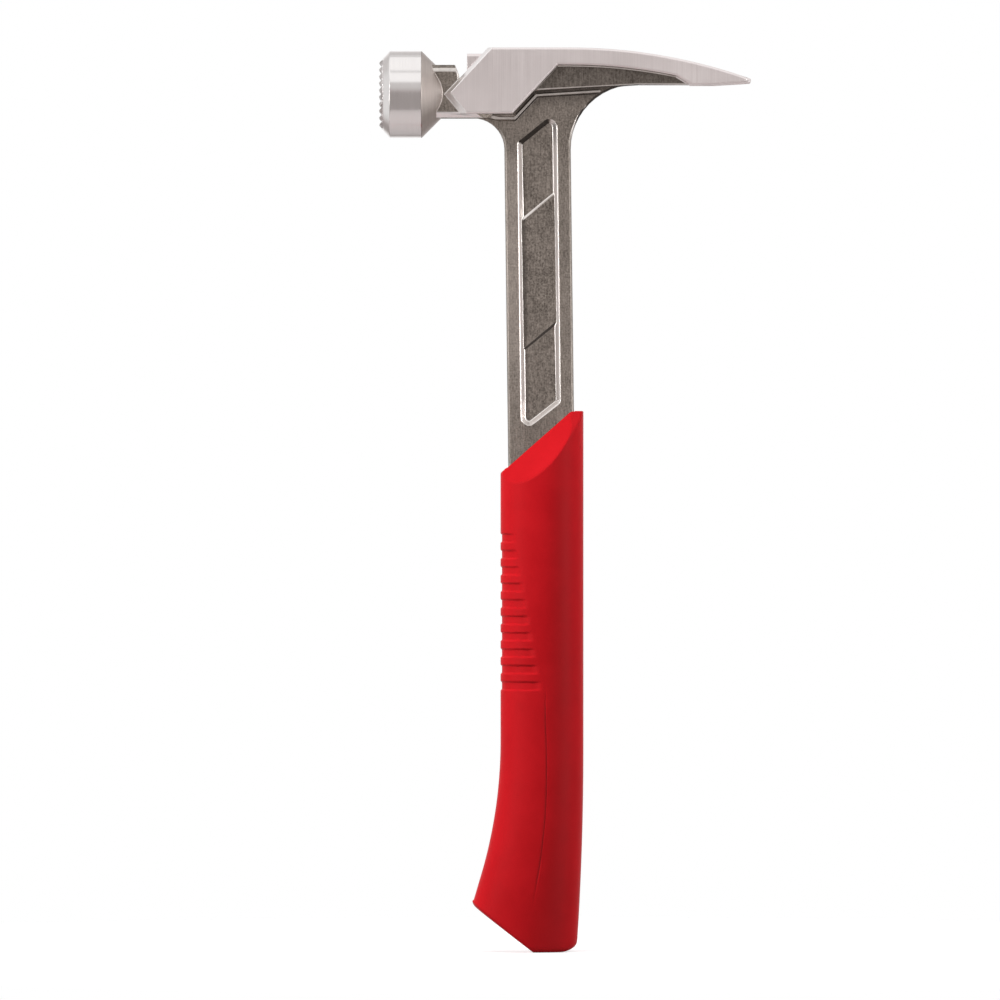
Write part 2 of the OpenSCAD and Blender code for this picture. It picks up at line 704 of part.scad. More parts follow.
module head_body() {
    front = -nose_reach - sink;
    half_front = half_head + draw_in * (taper_start - front) + over;
    corner = claw_reach - tip_corner - over;
    half_corner = half_tip + draw_in * tip_corner + (1 + draw_in) * over;
    bevels = [half_head, half_head - edge_bevel, half_neck];
    intersection() {
        loft([for (y = concat(bevels, -[bevels[2], bevels[1], bevels[0]])) head_ring(y)],
            strips = true);
        translate([0, 0, heel[1] - over]) linear_extrude(height = cheek_depth + 2 * over)
            polygon([[front, -half_front], [corner, -half_corner], [claw_reach, -half_tip + tip_corner],
                [claw_reach + over, 0], [claw_reach, half_tip - tip_corner], [corner, half_corner],
                [front, half_front]]);
    }
    web_back = band_end + recess_slant;
    side_plate(concat(
        [web_root, web_tail, [web_back, web_low], [web_back, web_low + sink]],
        curve(claw_r - band_t / 2, band_end, claw_start, web_steps),
        [[crook[0] - 2 * sink, overall_l - band_t / 2]]), web_w);
}

// The slot's outline, widened on each side
function slot_outline(more) =
    let (far = claw_reach + sink,
        half_root = slot_root_w / 2,
        half_far = half_root + (slot_mouth_w - slot_root_w) / 2 * (slot_l + sink) / slot_l)
    [[slot_root - more, -half_root - more], [far, -half_far - more], [far, half_far + more],
        [slot_root - more, half_root + more]];

module nail_slot() {
    translate([0, 0, claw_low - sink]) linear_extrude(height = claw_depth + 2 * sink) union() {
        polygon(slot_outline(0));
        translate([slot_root, 0]) circle(d = slot_root_w, $fn = hole_fn);
    }
    loft([at_z(slot_outline(slot_bevel + over), claw_low - over),
        at_z(slot_outline(-blend), claw_low + slot_bevel + blend)]);
}

module shank_body() {
    difference() {
        loft([for (y = [half_shank, half_shank - shank_bevel, shank_bevel - half_shank, -half_shank])
            let (d = abs(y) == half_shank ? shank_bevel : 0)
            at_y(inset(shank_outline, shank_edges * d), y)], strips = true);
        for (m = [0, 1]) mirror([0, m, 0]) loft([pocket_ring(-over), pocket_ring(pocket_depth)]);
    }
    for (m = [0, 1]) mirror([0, m, 0]) {
        loft([panel_ring(panel_h), panel_ring(-panel_h)]);
        loft([bead_ring(half_shank + bead_h, bead_side), bead_ring(half_shank - bead_h / 2, 0)],
            strips = true);
    }
}

module forging() {
    color(steel_colour) difference() {
        union() {
            milled_poll();
            neck();
            stop_block();
            head_body();
            shank_body();
            side_plate(tang_outline, shank_t);
        }
        nail_slot();
        translate([-over, 0, 0]) magnet_shape(magnet_d + 2 * magnet_gap, magnet_l + magnet_gap + over);
        lock_bars(lock_d, shank_t + 2 * over);
    }
}

module nail_magnet() {
    color(magnet_colour) magnet_shape(magnet_d, magnet_l);
}

module grip_core() {
    cavity = inset(tang_outline, [for (p = tang_outline) -mould_gap]);
    color(core_colour) union() {
        difference() {
            loft(concat(
                [for (z = core_levels) core_ring(z, core_wall)],
                [mouth_ring(core_wall, lip + core_gap), ridge_ring(lip + core_gap)]), strips = true);
            side_plate(cavity, 2 * half_mouth);
        }
        lock_bars(lock_d - 2 * mould_gap, shank_t + sink);
    }
}

module grip_skin() {
    color(skin_colour) loft(concat(
        [for (turn = edge_turns) edge_ring(turn)],
        [for (share = butt_shares) butt_ring(share)],
        [for (z = skin_levels) skin_ring(z)],
        [mouth_ring(0, 0), opening_ring(0), opening_ring(lip), mouth_ring(skin_wall, lip)],
        [for (i = [len(core_levels) - 1:-1:1]) core_ring(core_levels[i], skin_wall)],
        [core_ring(butt_wall - mould_gap, skin_wall)]), strips = true);
}

forging();
nail_magnet();
grip_core();
grip_skin();
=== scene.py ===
import math
from contextlib import contextmanager

import bmesh
import bpy
import numpy as np
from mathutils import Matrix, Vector


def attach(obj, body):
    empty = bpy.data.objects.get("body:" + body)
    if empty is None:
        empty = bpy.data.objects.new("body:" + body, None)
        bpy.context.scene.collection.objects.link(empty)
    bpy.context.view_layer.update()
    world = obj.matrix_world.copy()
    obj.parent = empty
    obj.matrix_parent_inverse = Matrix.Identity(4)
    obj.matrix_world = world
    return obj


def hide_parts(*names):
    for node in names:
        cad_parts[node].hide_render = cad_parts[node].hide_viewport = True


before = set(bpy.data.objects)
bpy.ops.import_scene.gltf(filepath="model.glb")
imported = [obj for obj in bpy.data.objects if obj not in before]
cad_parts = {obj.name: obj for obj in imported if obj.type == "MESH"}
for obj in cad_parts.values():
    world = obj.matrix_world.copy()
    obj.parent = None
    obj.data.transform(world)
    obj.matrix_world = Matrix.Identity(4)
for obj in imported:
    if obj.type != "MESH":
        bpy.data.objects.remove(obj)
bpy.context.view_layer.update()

MM = 0.001
ANY = math.inf

# Limits of mesh cleaning: two distances in metres and an angle in radians
DOUBLE = 1e-6
EMPTY = 1e-7
FLAT = 0.004

# Poll and milled face: millimetres, with counts of segments and rows
FACE_X = -68.6
POLL_Z = 361.6
POLL_R = 18.35
POLL_L = 17.8
POLL_SEGMENTS = 160
MILLED_R = 14.6
MILLED_H = 1.7
MILLED_FOOT = (0.1, 0.3)
RIM_L = 2.7
RIM_H = 2.9
CONE_R = 8.5
POLL_ROUNDS = [0.2, 0.2, 0.5, 0.9, 0.8, 0.2]
POLL_SKIN = 0.012
CONE_SKIN = 0.04
TOOTH_PITCH = 2.9
TOOTH_DEPTH = 1.2
TOOTH_FLAT = 0.3
TOOTH_ROWS = 11
CUTTER_L = 50.0
CROSS_SINK = 0.02
NAIL_GROOVE_W = 5.0
NAIL_GROOVE_D = 4.4
NAIL_GROOVE_BEVEL = 1.0
NAIL_GROOVE_X = (-72.0, -42.4)

# Runs of the poll's profile over this length get rows of points at these shares
LONG_RUN = 1.0
RUN_SHARES = (0.0, 0.04, 0.96)

# Magnet: millimetres, with a count of segments
MAGNET_X = -31.6
MAGNET_Z = 375.5
MAGNET_R = 2.3
MAGNET_L = 3.0
MAGNET_ROUND = 0.25
MAGNET_SEGMENTS = 64

# Head, in millimetres
POLL_CUT = -50.2
CYLINDER_END = -50.9
CONE_END = -40.5
CONE_FOOT_X = (-50, -39)
CONE_FOOT_Y = 3
CONE_FOOT_ROUND = 0.22
NECK_X = (-43, -34)
NECK_Y = (9.3, 9.6)
NECK_TOP = 364
NECK_FOOT_X = (-46.0, -24.0)
NECK_FOOT_Y = 4.2
NECK_FOOT_TOP = 357.0
HEAD_FRONT = -41.0
HEAD_LOW = 345.0
CHEEK_FRONT = -42.0
CHEEK_LOW = 352.9
CHEEK_Y = 9.53
BEVEL_END = -20.0
BLOCK_X = (-33.0, -22.0)
BLOCK_LOW = 368.0
TOP_LOW = 371.0
CLAW_WALL_END = 57.0
CLAW_TIP = 57.5
CLAW_SLOT_X = 40.0
CLAW_SLOT_Y = 5.4
WEB_SIDE = 8.5
WEB_NEAR = 0.1
WEB_X = (-4, 40)
BEAD_X = (-20.0, 36.0)
BEAD_Y = (4.1, 5.0)
BEAD_TOP = 372

# Shank, in millimetres, with its lean as a slope
SHANK_LEAN = math.tan(math.radians(0.7))
SHANK_SHIFT = 0.4
SHANK_LOW = 199
POCKET_FLOOR = 1.5
POCKET_SHADOW_SPAN = (4.6, 6.4)
PANEL_Y = 2.7
PANEL_ENDS = ((250, 268), (306, 324))
PANEL_MID = 287.0
PANEL_EASE = 0.65

# Boxes on the forging: a span in X, a reach to either side and a span in Z
POCKET = ((-11.5, 11.5), 4.05, (223, 349))
MAGNET_SEAT = ((-33, -27), 3, (MAGNET_Z - 3, MAGNET_Z + 3))
SLOT_ROOT = ((35, 48), 4.5, (-ANY, ANY))
NECK_RAIL = ((-31, -19), 11, (-ANY, 356))
BEAD_END = ((18, 34), 6, (-ANY, 364))
BEAD = (BEAD_X, BEAD_Y[1], (-ANY, BEAD_TOP))
JUNCTIONS = (POCKET, MAGNET_SEAT, SLOT_ROOT, NECK_RAIL, BEAD_END)

# An edge is rounded if it turns by enough degrees and is long enough in millimetres
SHARP = 22
HOLLOW = 30
STEEP = 60
SHORT = 0.25
NECK_EDGE_L = 1.0
LONG = 2.0

# An edge of a panel's end runs across the shank by more than this share of its length
PANEL_ACROSS = 0.4

# Shading is sharp at edges that turn by more, in degrees
CREASE = 40
MAGNET_CREASE = 35

# Slopes of faces, as parts of their unit normals
CONE_NX = 0.3
WALL_NY = 0.3
WALL_NZ = -0.3
TOP_NZ = 0.6
SLOT_NY = 0.5
BEVEL_NY = (0.25, 0.95)
BEVEL_NZ = -0.6
NECK_FOOT_NZ = -0.1
BEAD_NZ = -0.2

# Shares, slopes and angles of the grip
CREST = 0.54
CREST_SHIFT = 0.035
ROUNDNESS = 0.44
MOUTH_TAN = math.tan(math.radians(41.4))
MOUTH_FALL = 1.65
BUTT_TAN = math.tan(math.radians(37.6))
FLARE_ANGLE = math.radians(16.5)

# Grip, in millimetres
GRIP_W = 35.0
GRIP_T = 26.0
BUTT_T = 29.0
CREST_BEND = 98.0
MOUTH_Z = 217.3
MOUTH_TOP = 228.0
MOUTH_ROUND = 0.5
HALF_MOUTH = 4.05
OPENING = (-14.75, 13.55)
OPENING_BEVEL = 0.3
LIP = 6.0
SKIN_WALL = 4.0
BUTT_WALL = 24.0
FLARE_Z = 89.0
FLARE_R = 200.0
TAIL_Z = 85.0
TAIL_R = 1250.0
BUTT_FRONT = 3.8
TAIL_IN = 10.0
TAIL_ROUND = 10.0
BUTT_ROUND = 1.6
RING_LOW = 34.0
RING_HIGH = 195.0
RING_STEP = 0.9
RIB_SPAN = (106, 181)
RIB_STEP = 0.36
SEAM_DEPTH = 0.22
SEAM_TOP = (100.0, 112.0)
SEAM_LOW = (18.0, 36.0)

# Columns round the grip, in degrees, and counts of its rings
COLUMN_STEP = 2.5
SEAM_BESIDE = 0.9
BUTT_RINGS = 6
FLARE_RINGS = 26
TOP_RINGS = 30
MOUTH_RINGS = 10
HOLLOW_RINGS = 40

# Picture: a width in pixels, a pixel and a centre in metres, and the camera's millimetres
IMAGE_W = 1000
PIXEL = 0.42202 * MM
CENTRE = Vector((-17.72 * MM, 0.0, 190.46 * MM))
LENS = 400.0
SENSOR = 36.0

# Stage: the floor's sizes in metres, and shares of the light
FLOOR_R = 0.39
FLOOR_Z = -0.0002
FLOOR_MIRRORED = 0.31
MATT_SHARE = 0.21

# Kinds of a geometry tree's inputs, and the sockets of a colour mix
LENGTH, COUNT, PIECE = "NodeSocketFloat", "NodeSocketInt", "NodeSocketObject"
MIX_FACTOR, MIX_LOW, MIX_HIGH, MIX_RESULT = 0, 6, 7, 2


class Wire:
    """A socket's value that takes part in sums as a number does."""

    def __init__(self, plan, socket):
        self.plan = plan
        self.socket = socket

    def math(self, operation, *others):
        node = self.plan.node("ShaderNodeMath", operation=operation)
        for socket, value in zip(node.inputs, (self, *others)):
            self.plan.feed(socket, value)
        return Wire(self.plan, node.outputs[0])

    def __add__(self, other):
        return self.math("ADD", other)

    def __sub__(self, other):
        return self.math("SUBTRACT", other)

    def __mul__(self, other):
        return self.math("MULTIPLY", other)

    def __truediv__(self, other):
        return self.math("DIVIDE", other)

    def __gt__(self, other):
        return self.math("GREATER_THAN", other)

    def __lt__(self, other):
        return self.math("LESS_THAN", other)

    def abs(self):
        return self.math("ABSOLUTE")

    def round(self):
        return self.math("ROUND")

    def either(self, other):
        return self.math("MAXIMUM", other)

    def between(self, low, high):
        return (self > low) * (self < high)

    def ramp(self, low, high, out_low=0.0, out_high=1.0, smooth=True):
        """The value carried from low..high to out_low..out_high and held there."""
        node = self.plan.node(
            "ShaderNodeMapRange",
            interpolation_type="SMOOTHSTEP" if smooth else "LINEAR",
        )
        for index, value in enumerate((self, low, high, out_low, out_high)):
            self.plan.feed(node.inputs[index], value)
        return Wire(self.plan, node.outputs[0])


class Plan:
    """Short ways to add and join the nodes of one tree."""

    def __init__(self, tree):
        self.tree = tree

    def node(self, kind, feeds=None, **settings):
        node = self.tree.nodes.new(kind)
        for name, value in settings.items():
            setattr(node, name, value)
        for name, value in (feeds or {}).items():
            self.feed(node.inputs[name], value)
        return node

    def feed(self, socket, value):
        if isinstance(value, Wire):
            self.tree.links.new(value.socket, socket)
        elif isinstance(value, bpy.types.NodeSocket):
            self.tree.links.new(value, socket)
        else:
            socket.default_value = value

    def wire(self, node, output=0):
        return Wire(self, node.outputs[output])

    def axes(self, socket):
        """The three parts of a vector."""
        split = self.node("ShaderNodeSeparateXYZ", {0: socket})
        return [self.wire(split, i) for i in range(3)]

    def millimetres(self, socket):
        """The three parts of a place in metres, in millimetres."""
        return [axis * 1000.0 for axis in self.axes(socket)]


# Materials


def material(name):
    """A new material with its plan, its shader and its texture coordinates."""
    made = bpy.data.materials.new(name)
    made.use_nodes = True
    plan = Plan(made.node_tree)
    shader = made.node_tree.nodes["Principled BSDF"]
    coords = plan.node("ShaderNodeTexCoord")
    return made, plan, shader, coords


def stretched(plan, coords, scale):
    """Object coordinates with each axis scaled by itself."""
    mapping = plan.node("ShaderNodeMapping", {"Vector": coords.outputs["Object"], "Scale": scale})
    return mapping.outputs[0]


def noise(plan, vector, scale, detail, roughness=0.55):
    node = plan.node(
        "ShaderNodeTexNoise",
        {"Vector": vector, "Scale": scale, "Detail": detail, "Roughness": roughness},
    )
    return plan.wire(node)


def blend(plan, factor, low, high):
    """A colour between two, each a tuple or a socket, mixed by a factor."""
    node = plan.node("ShaderNodeMix", data_type="RGBA")
    plan.feed(node.inputs[MIX_FACTOR], factor)
    for index, colour in ((MIX_LOW, low), (MIX_HIGH, high)):
        plan.feed(node.inputs[index], (*colour, 1.0) if isinstance(colour, tuple) else colour)
    return node.outputs[MIX_RESULT]


def bump(plan, shader, height, distance, strength):
    """A relief on a shader, with its distance in millimetres."""
    node = plan.node(
        "ShaderNodeBump",
        {"Height": height, "Distance": distance * MM, "Strength": strength},
    )
    plan.feed(shader.inputs["Normal"], node.outputs[0])


def brushed_steel(name, line_scale, low, high, rough, relief):
    """Worked steel: fine lines along the axes with the small scale, or an even grain."""
    made, plan, shader, coords = material(name)
    lines = noise(plan, stretched(plan, coords, line_scale), 1.0, 4.0, 0.6)
    clouds = noise(plan, coords.outputs["Object"], 60.0, 3.0)
    shade = lines.ramp(0.25, 0.75, smooth=False) * 0.75 + clouds.ramp(0.3, 0.7) * 0.25
    gloss = lines.ramp(0.25, 0.75, rough - 0.05, rough + 0.05) + clouds * 0.06
    plan.feed(shader.inputs["Base Color"], blend(plan, shade, low, high))
    plan.feed(shader.inputs["Roughness"], gloss)
    shader.inputs["Metallic"].default_value = 1.0
    bump(plan, shader, lines, relief, 0.4)
    return made


def forged_steel(name):
    """Dark shot-blasted forging skin, rubbed brighter on its slopes and edges, with painted light on
    slopes that face up and left and painted shade where faces look down.
    """
    made, plan, shader, coords = material(name)
    place = coords.outputs["Object"]
    grain = noise(plan, place, 1250.0, 3.0, 0.65)
    drawn = noise(plan, stretched(plan, coords, (2200.0, 2200.0, 260.0)), 1.0, 3.0, 0.6)
    pits = plan.wire(plan.node("ShaderNodeTexVoronoi", {"Vector": place, "Scale": 1000.0}))
    patches = noise(plan, place, 90.0, 4.0, 0.6)
    mottle = (grain * 0.5 + drawn * 0.3 + patches * 0.2).ramp(0.36, 0.64, smooth=False)
    side, front, up = plan.axes(coords.outputs["Normal"])
    slope = front.abs()
    x, y, z = plan.millimetres(place)
    y = y.abs()
    across = x + SHANK_SHIFT + (z - MOUTH_Z) * SHANK_LEAN
    to_left = across * -1.0

    # Slopes that are worn bright, apart from the shank's outer edges and the neck; only slopes that
    # don't face down, and the pockets' walls that face left, get this, so it is partly painted light
    in_pocket = across.abs().ramp(11.0, 10.0) * y.ramp(4.05, 3.98) * z.ramp(356.0, 354.0)
    lit = up.ramp(-0.4, -0.12).either(side.ramp(0.0, -0.25) * in_pocket)
    lean = slope.ramp(0.08, 0.45) * slope.ramp(0.985, 0.88) * lit
    rail_edge = across.abs().ramp(12.4, 12.9) * z.ramp(350.0, 340.0)
    off_neck = x.ramp(-20.0, -16.0).either(z.ramp(349.0, 345.0))
    worn_and_lit = lean * (rail_edge * -0.9 + 1.0) * off_neck
    unworn_and_unlit = worn_and_lit * -1.0 + 1.0

    # Darkened places: faces that look down, unless they turn to the left, as painted shade; the
    # pockets' left corners, as a painted shadow of the left wall; and the web, darker all over
    pocket_top = up.ramp(-0.15, -0.36) * slope.ramp(0.94, 0.82)
    panel_foot = up.ramp(-0.08, -0.20) * slope.ramp(0.985, 0.94) * z.ramp(300.0, 290.0)
    shaded = pocket_top.either(panel_foot) * side.ramp(-0.12, 0.12)
    corner = to_left.ramp(*POCKET_SHADOW_SPAN) * y.ramp(2.9, 2.7) * z.ramp(340.0, 330.0)
    web = z.ramp(355.0, 362.0) * x.ramp(-16.0, -8.0)
    # One share of darkening: painted shade, painted shadow and the web's darker tone
    scale = (shaded * 0.85).either(corner * 0.5).either(web * 0.4)

    # Rails beside the pockets, which are a little barer; the left rail is lighter still and brightens
    # upwards, which is painted light
    on_rail = y.ramp(3.2, 3.7) * z.ramp(345.0, 325.0)
    left_rail_lit = to_left.ramp(6.0, 7.6) * on_rail * z.ramp(228.0, 262.0, 0.12, 0.45)
    right_rail = across.ramp(6.0, 7.6) * on_rail * 0.13

    skin = blend(plan, mottle, (0.115, 0.098, 0.083), (0.43, 0.375, 0.33))
    bare_and_lit_tone = blend(plan, mottle, (0.46, 0.405, 0.365), (0.78, 0.69, 0.62))
    railed = blend(plan, left_rail_lit + right_rail, skin, bare_and_lit_tone)
    # Worn slopes take a bright colour, which on the sides facing up and left is painted light
    rubbed_and_lit = blend(plan, worn_and_lit * 0.95, railed, (0.84, 0.785, 0.755))
    # The painted shade fades out where faces are worn and lit
    dark_share = scale * worn_and_lit.ramp(0.2, 0.6, 1.0, 0.0)
    colour = blend(plan, dark_share, rubbed_and_lit, (0.035, 0.030, 0.027))
    plan.feed(shader.inputs["Base Color"], colour)
    plan.feed(shader.inputs["Roughness"], grain.ramp(0.3, 0.7, 0.42, 0.60) * unworn_and_unlit + worn_and_lit * 0.28)
    shader.inputs["Metallic"].default_value = 1.0
    height = (grain * 0.7 + pits * 0.4) * worn_and_lit.ramp(0.0, 0.6, 1.0, 0.0)
    bump(plan, shader, height, 0.10, 0.5)
    return made


def soft_red(name):
    """Satin red moulding with a fine stipple and a darker line at the mould's seam, which is painted
    shade in its groove.
    """
    made, plan, shader, coords = material(name)
    place = coords.outputs["Object"]
    stipple = noise(plan, place, 2600.0, 2.0, 0.5)
    patches = noise(plan, place, 60.0, 3.0)
    seam = plan.wire(plan.node("ShaderNodeAttribute", attribute_name="seam"), "Fac")
    tone = patches.ramp(0.35, 0.65) * 0.6 + stipple.ramp(0.35, 0.65) * 0.4
    body = blend(plan, tone, (0.47, 0.006, 0.010), (0.54, 0.008, 0.013))
    # The seam's groove is darkened as painted shade
    colour = blend(plan, seam * 0.6, body, (0.13, 0.003, 0.005))
    plan.feed(shader.inputs["Base Color"], colour)
    plan.feed(shader.inputs["Roughness"], patches.ramp(0.3, 0.7, 0.44, 0.52) + stipple * 0.06)
    shader.inputs["Specular IOR Level"].default_value = 0.1
    shader.inputs["Sheen Weight"].default_value = 0.2
    shader.inputs["Sheen Roughness"].default_value = 0.3
    bump(plan, shader, stipple, 0.04, 0.5)
    return made


def nickel(name):
    """Bright plating with faint turned rings round the magnet's axis."""
    made, plan, shader, coords = material(name)
    specks = noise(plan, coords.outputs["Object"], 900.0, 3.0)
    centred = plan.node(
        "ShaderNodeMapping",
        {"Vector": coords.outputs["Object"], "Location": (0.0, 0.0, -MAGNET_Z * MM)},
    )
    rings = plan.node(
        "ShaderNodeTexWave",
        {"Vector": centred.outputs[0], "Scale": 900.0, "Distortion": 1.5},
        wave_type="RINGS",
        rings_direction="X",
    )
    colour = blend(plan, specks, (0.62, 0.62, 0.63), (0.80, 0.80, 0.82))
    plan.feed(shader.inputs["Base Color"], colour)
    plan.feed(shader.inputs["Roughness"], specks.ramp(0.3, 0.7, 0.16, 0.30))
    shader.inputs["Metallic"].default_value = 1.0
    bump(plan, shader, plan.wire(rings, "Fac"), 0.01, 0.4)
    return made


def hard_core(name):
    """Dark moulded plastic with a fine grain."""
    made, plan, shader, coords = material(name)
    grain = noise(plan, coords.outputs["Object"], 1800.0, 3.0)
    colour = blend(plan, grain, (0.010, 0.010, 0.011), (0.022, 0.022, 0.024))
    plan.feed(shader.inputs["Base Color"], colour)
    plan.feed(shader.inputs["Roughness"], grain.ramp(0.3, 0.7, 0.45, 0.6))
    bump(plan, shader, grain, 0.05, 0.4)
    return made


turned = brushed_steel(
    "turned_poll_steel",
    line_scale=(3600.0, 60.0, 60.0),
    low=(0.78, 0.745, 0.735),
    high=(0.88, 0.85, 0.84),
    rough=0.14,
    relief=0.02,
)
ground = brushed_steel(
    "ground_cheek_steel",
    line_scale=(3600.0, 3600.0, 22.0),
    low=(0.80, 0.735, 0.725),
    high=(0.92, 0.855, 0.845),
    rough=0.45,
    relief=0.06,
)
bevelled = brushed_steel(
    "bevelled_steel",
    line_scale=(900.0, 900.0, 900.0),
    low=(0.90, 0.86, 0.85),
    high=(0.97, 0.94, 0.93),
    rough=0.34,
    relief=0.03,
)
milled = brushed_steel(
    "milled_face_steel",
    line_scale=(900.0, 900.0, 900.0),
    low=(0.42, 0.39, 0.38),
    high=(0.62, 0.58, 0.57),
    rough=0.36,
    relief=0.03,
)
spun = brushed_steel(
    "spun_cone_steel",
    line_scale=(3600.0, 60.0, 60.0),
    low=(0.41, 0.36, 0.335),
    high=(0.59, 0.525, 0.49),
    rough=0.38,
    relief=0.03,
)
rubbed = brushed_steel(
    "rubbed_edge_steel",
    line_scale=(700.0, 700.0, 700.0),
    low=(0.56, 0.52, 0.49),
    high=(0.80, 0.75, 0.71),
    rough=0.36,
    relief=0.04,
)
forged = forged_steel("forged_steel")
rubber = soft_red("soft_red_rubber")
plating = nickel("magnet_nickel")
plastic = hard_core("core_plastic")


# Mesh helpers


def show(name, data):
    """A new object for a mesh, a camera or a lamp, linked to the scene."""
    made = bpy.data.objects.new(name, data)
    bpy.context.scene.collection.objects.link(made)
    return made


@contextmanager
def editing(mesh):
    """Opens a mesh for edits and writes them back."""
    bm = bmesh.new()
    bm.from_mesh(mesh)
    yield bm
    bm.to_mesh(mesh)
    bm.free()


def clean(mesh):
    """Merges a mesh's doubles, drops its empty faces and turns its faces outwards."""
    with editing(mesh) as bm:
        bmesh.ops.remove_doubles(bm, verts=bm.verts, dist=DOUBLE)
        bmesh.ops.dissolve_degenerate(bm, edges=bm.edges, dist=EMPTY)
        bmesh.ops.recalc_face_normals(bm, faces=bm.faces)


def unit(vector):
    return vector / np.linalg.norm(vector)


def rounded_path(points, radii, steps=4):
    """An open path in the plane with a radius at each inner corner."""
    path = [points[0]]
    for before, corner, after, radius in zip(points, points[1:], points[2:], radii):
        corner = np.array(corner)
        back = unit(np.array(before) - corner)
        onward = unit(np.array(after) - corner)
        half = math.acos(float(np.clip(back @ onward, -1, 1))) / 2
        centre = corner + unit(back + onward) * radius / math.sin(half)
        start = corner + back * radius / math.tan(half) - centre
        end = corner + onward * radius / math.tan(half) - centre
        first = math.atan2(start[1], start[0])
        turn = math.atan2(start[0] * end[1] - start[1] * end[0], start @ end)
        for i in range(steps + 1):
            angle = first + turn * i / steps
            path.append(centre + radius * np.array([math.cos(angle), math.sin(angle)]))
    path.append(points[-1])
    return path


def ring_faces(rings, count):
    """Faces with four sides between rings that have a count of points each."""
    faces = []
    for start in range(0, (rings - 1) * count, count):
        for i in range(count):
            k = (i + 1) % count
            faces.append((start + i, start + k, start + count + k, start + count + i))
    return faces


def lathe(name, profile, x, z, count):
    """A closed mesh turned round an axis along X, from pairs of length and radius."""
    points = []
    for along, radius in profile:
        for i in range(count):
            angle = 2 * math.pi * i / count
            points.append((x + along, radius * math.sin(angle), z + radius * math.cos(angle)))
    made = bpy.data.meshes.new(name)
    faces = ring_faces(len(profile), count)
    made.from_pydata([tuple(p) for p in np.asarray(points) * MM], [], faces)
    clean(made)
    return made


def settle(made, name):
    """Gives an object its evaluated mesh as a plain mesh, with its modifiers gone."""
    graph = bpy.context.evaluated_depsgraph_get()
    mesh = bpy.data.meshes.new_from_object(made.evaluated_get(graph))
    made.modifiers.clear()
    mesh.name = name
    made.data = mesh


def shade_smooth(made, angle):
    """Smooth shading, with the edges sharp that turn by more than an angle."""
    with editing(made.data) as bm:
        for f in bm.faces:
            f.smooth = True
        for e in bm.edges:
            e.smooth = e.calc_face_angle(0) < math.radians(angle)


def finish_normals(made, angle):
    """Smooth shading up to an angle, with flat faces kept flat."""
    shade_smooth(made, angle)
    weighted = made.modifiers.new("flat_faces", "WEIGHTED_NORMAL")
    weighted.keep_sharp = True
    weighted.weight = 80


def node_group(name, sizes):
    """A geometry tree with a mesh input and output and one named input for each size."""
    tree = bpy.data.node_groups.new(name, "GeometryNodeTree")
    tree.interface.new_socket("Geometry", in_out="INPUT", socket_type="NodeSocketGeometry")
    keys = {}
    for label, (kind, value) in sizes.items():
        socket = tree.interface.new_socket(label, in_out="INPUT", socket_type=kind)
        keys[label] = socket.identifier
        if kind != PIECE:
            socket.default_value = value
    tree.interface.new_socket("Geometry", in_out="OUTPUT", socket_type="NodeSocketGeometry")
    plan = Plan(tree)
    return plan, plan.node("NodeGroupInput"), plan.node("NodeGroupOutput"), keys


def apply_group(made, plan, keys, sizes):
    """Puts a geometry tree on an object, with each input set by its identifier."""
    modifier = made.modifiers.new("tree", "NODES")
    modifier.node_group = plan.tree
    for label, (_, value) in sizes.items():
        modifier[keys[label]] = value


# Forging


def round_edges(bm, pick, width, finish, finishes):
    """Rounds the edges that a rule picks, and gives the new faces one of the mesh's finishes."""
    chosen = [e for e in bm.edges if len(e.link_faces) == 2 and pick(e)]
    bmesh.ops.bevel(
        bm,
        geom=chosen,
        offset=width * MM,
        offset_type="OFFSET",
        segments=3,
        profile=0.5,
        affect="EDGES",
        clamp_overlap=False,
        loop_slide=True,
        material=finishes.index(finish),
    )


def inside(at, box):
    """Whether a place is in one of the boxes on the forging."""
    (x0, x1), reach, (z0, z1) = box
    return x0 < at.x < x1 and abs(at.y) < reach and z0 < at.z < z1


def edge_facts(e):
    """Middle of an edge and its length in millimetres, and its angle in degrees."""
    middle = (e.verts[0].co + e.verts[1].co) / 2 / MM
    return middle, e.calc_length() / MM, math.degrees(abs(e.calc_face_angle_signed(0)))


def pocket_edge(e):
    """Edges round the pockets in the shank's sides, and round the panels in them."""
    at, length, angle = edge_facts(e)
    return angle > SHARP and length > SHORT and inside(at, POCKET) and abs(at.y) > POCKET_FLOOR


def panel_edge(e):
    """Edges along the slanting ends of the raised panels in the pockets."""
    at = edge_facts(e)[0]
    way = e.verts[1].co - e.verts[0].co
    at_end = any(low < at.z < high for low, high in PANEL_ENDS)
    across = abs(way.x) > PANEL_ACROSS * way.length
    return pocket_edge(e) and at_end and abs(at.y) < PANEL_Y and across


def wall_edge(e):
    """Edges round the pockets other than those of the panels' ends."""
    return pocket_edge(e) and not panel_edge(e)


def ease_panels(bm):
    """Leans the slanting ends of the raised panels back to a gentler slope."""
    ends = {v for e in bm.edges if panel_edge(e) and e.is_convex for v in e.verts}
    for v in ends:
        v.co.z += math.copysign(PANEL_EASE, PANEL_MID - v.co.z / MM) * MM


def beside_web(e):
    """Long edges of the thin web under the claw's band."""
    at, length, angle = edge_facts(e)
    on_side = abs(abs(at.y) - WEB_SIDE) < WEB_NEAR and at.x > WEB_X[0]
    return angle > STEEP and length > LONG and on_side


def root_edge(e):
    """Inner edges where the sides of the web run into the head's band."""
    return beside_web(e) and not e.is_convex


def web_edge(e):
    """The lower edges of the web."""
    return beside_web(e) and e.is_convex and edge_facts(e)[0].x < WEB_X[1]


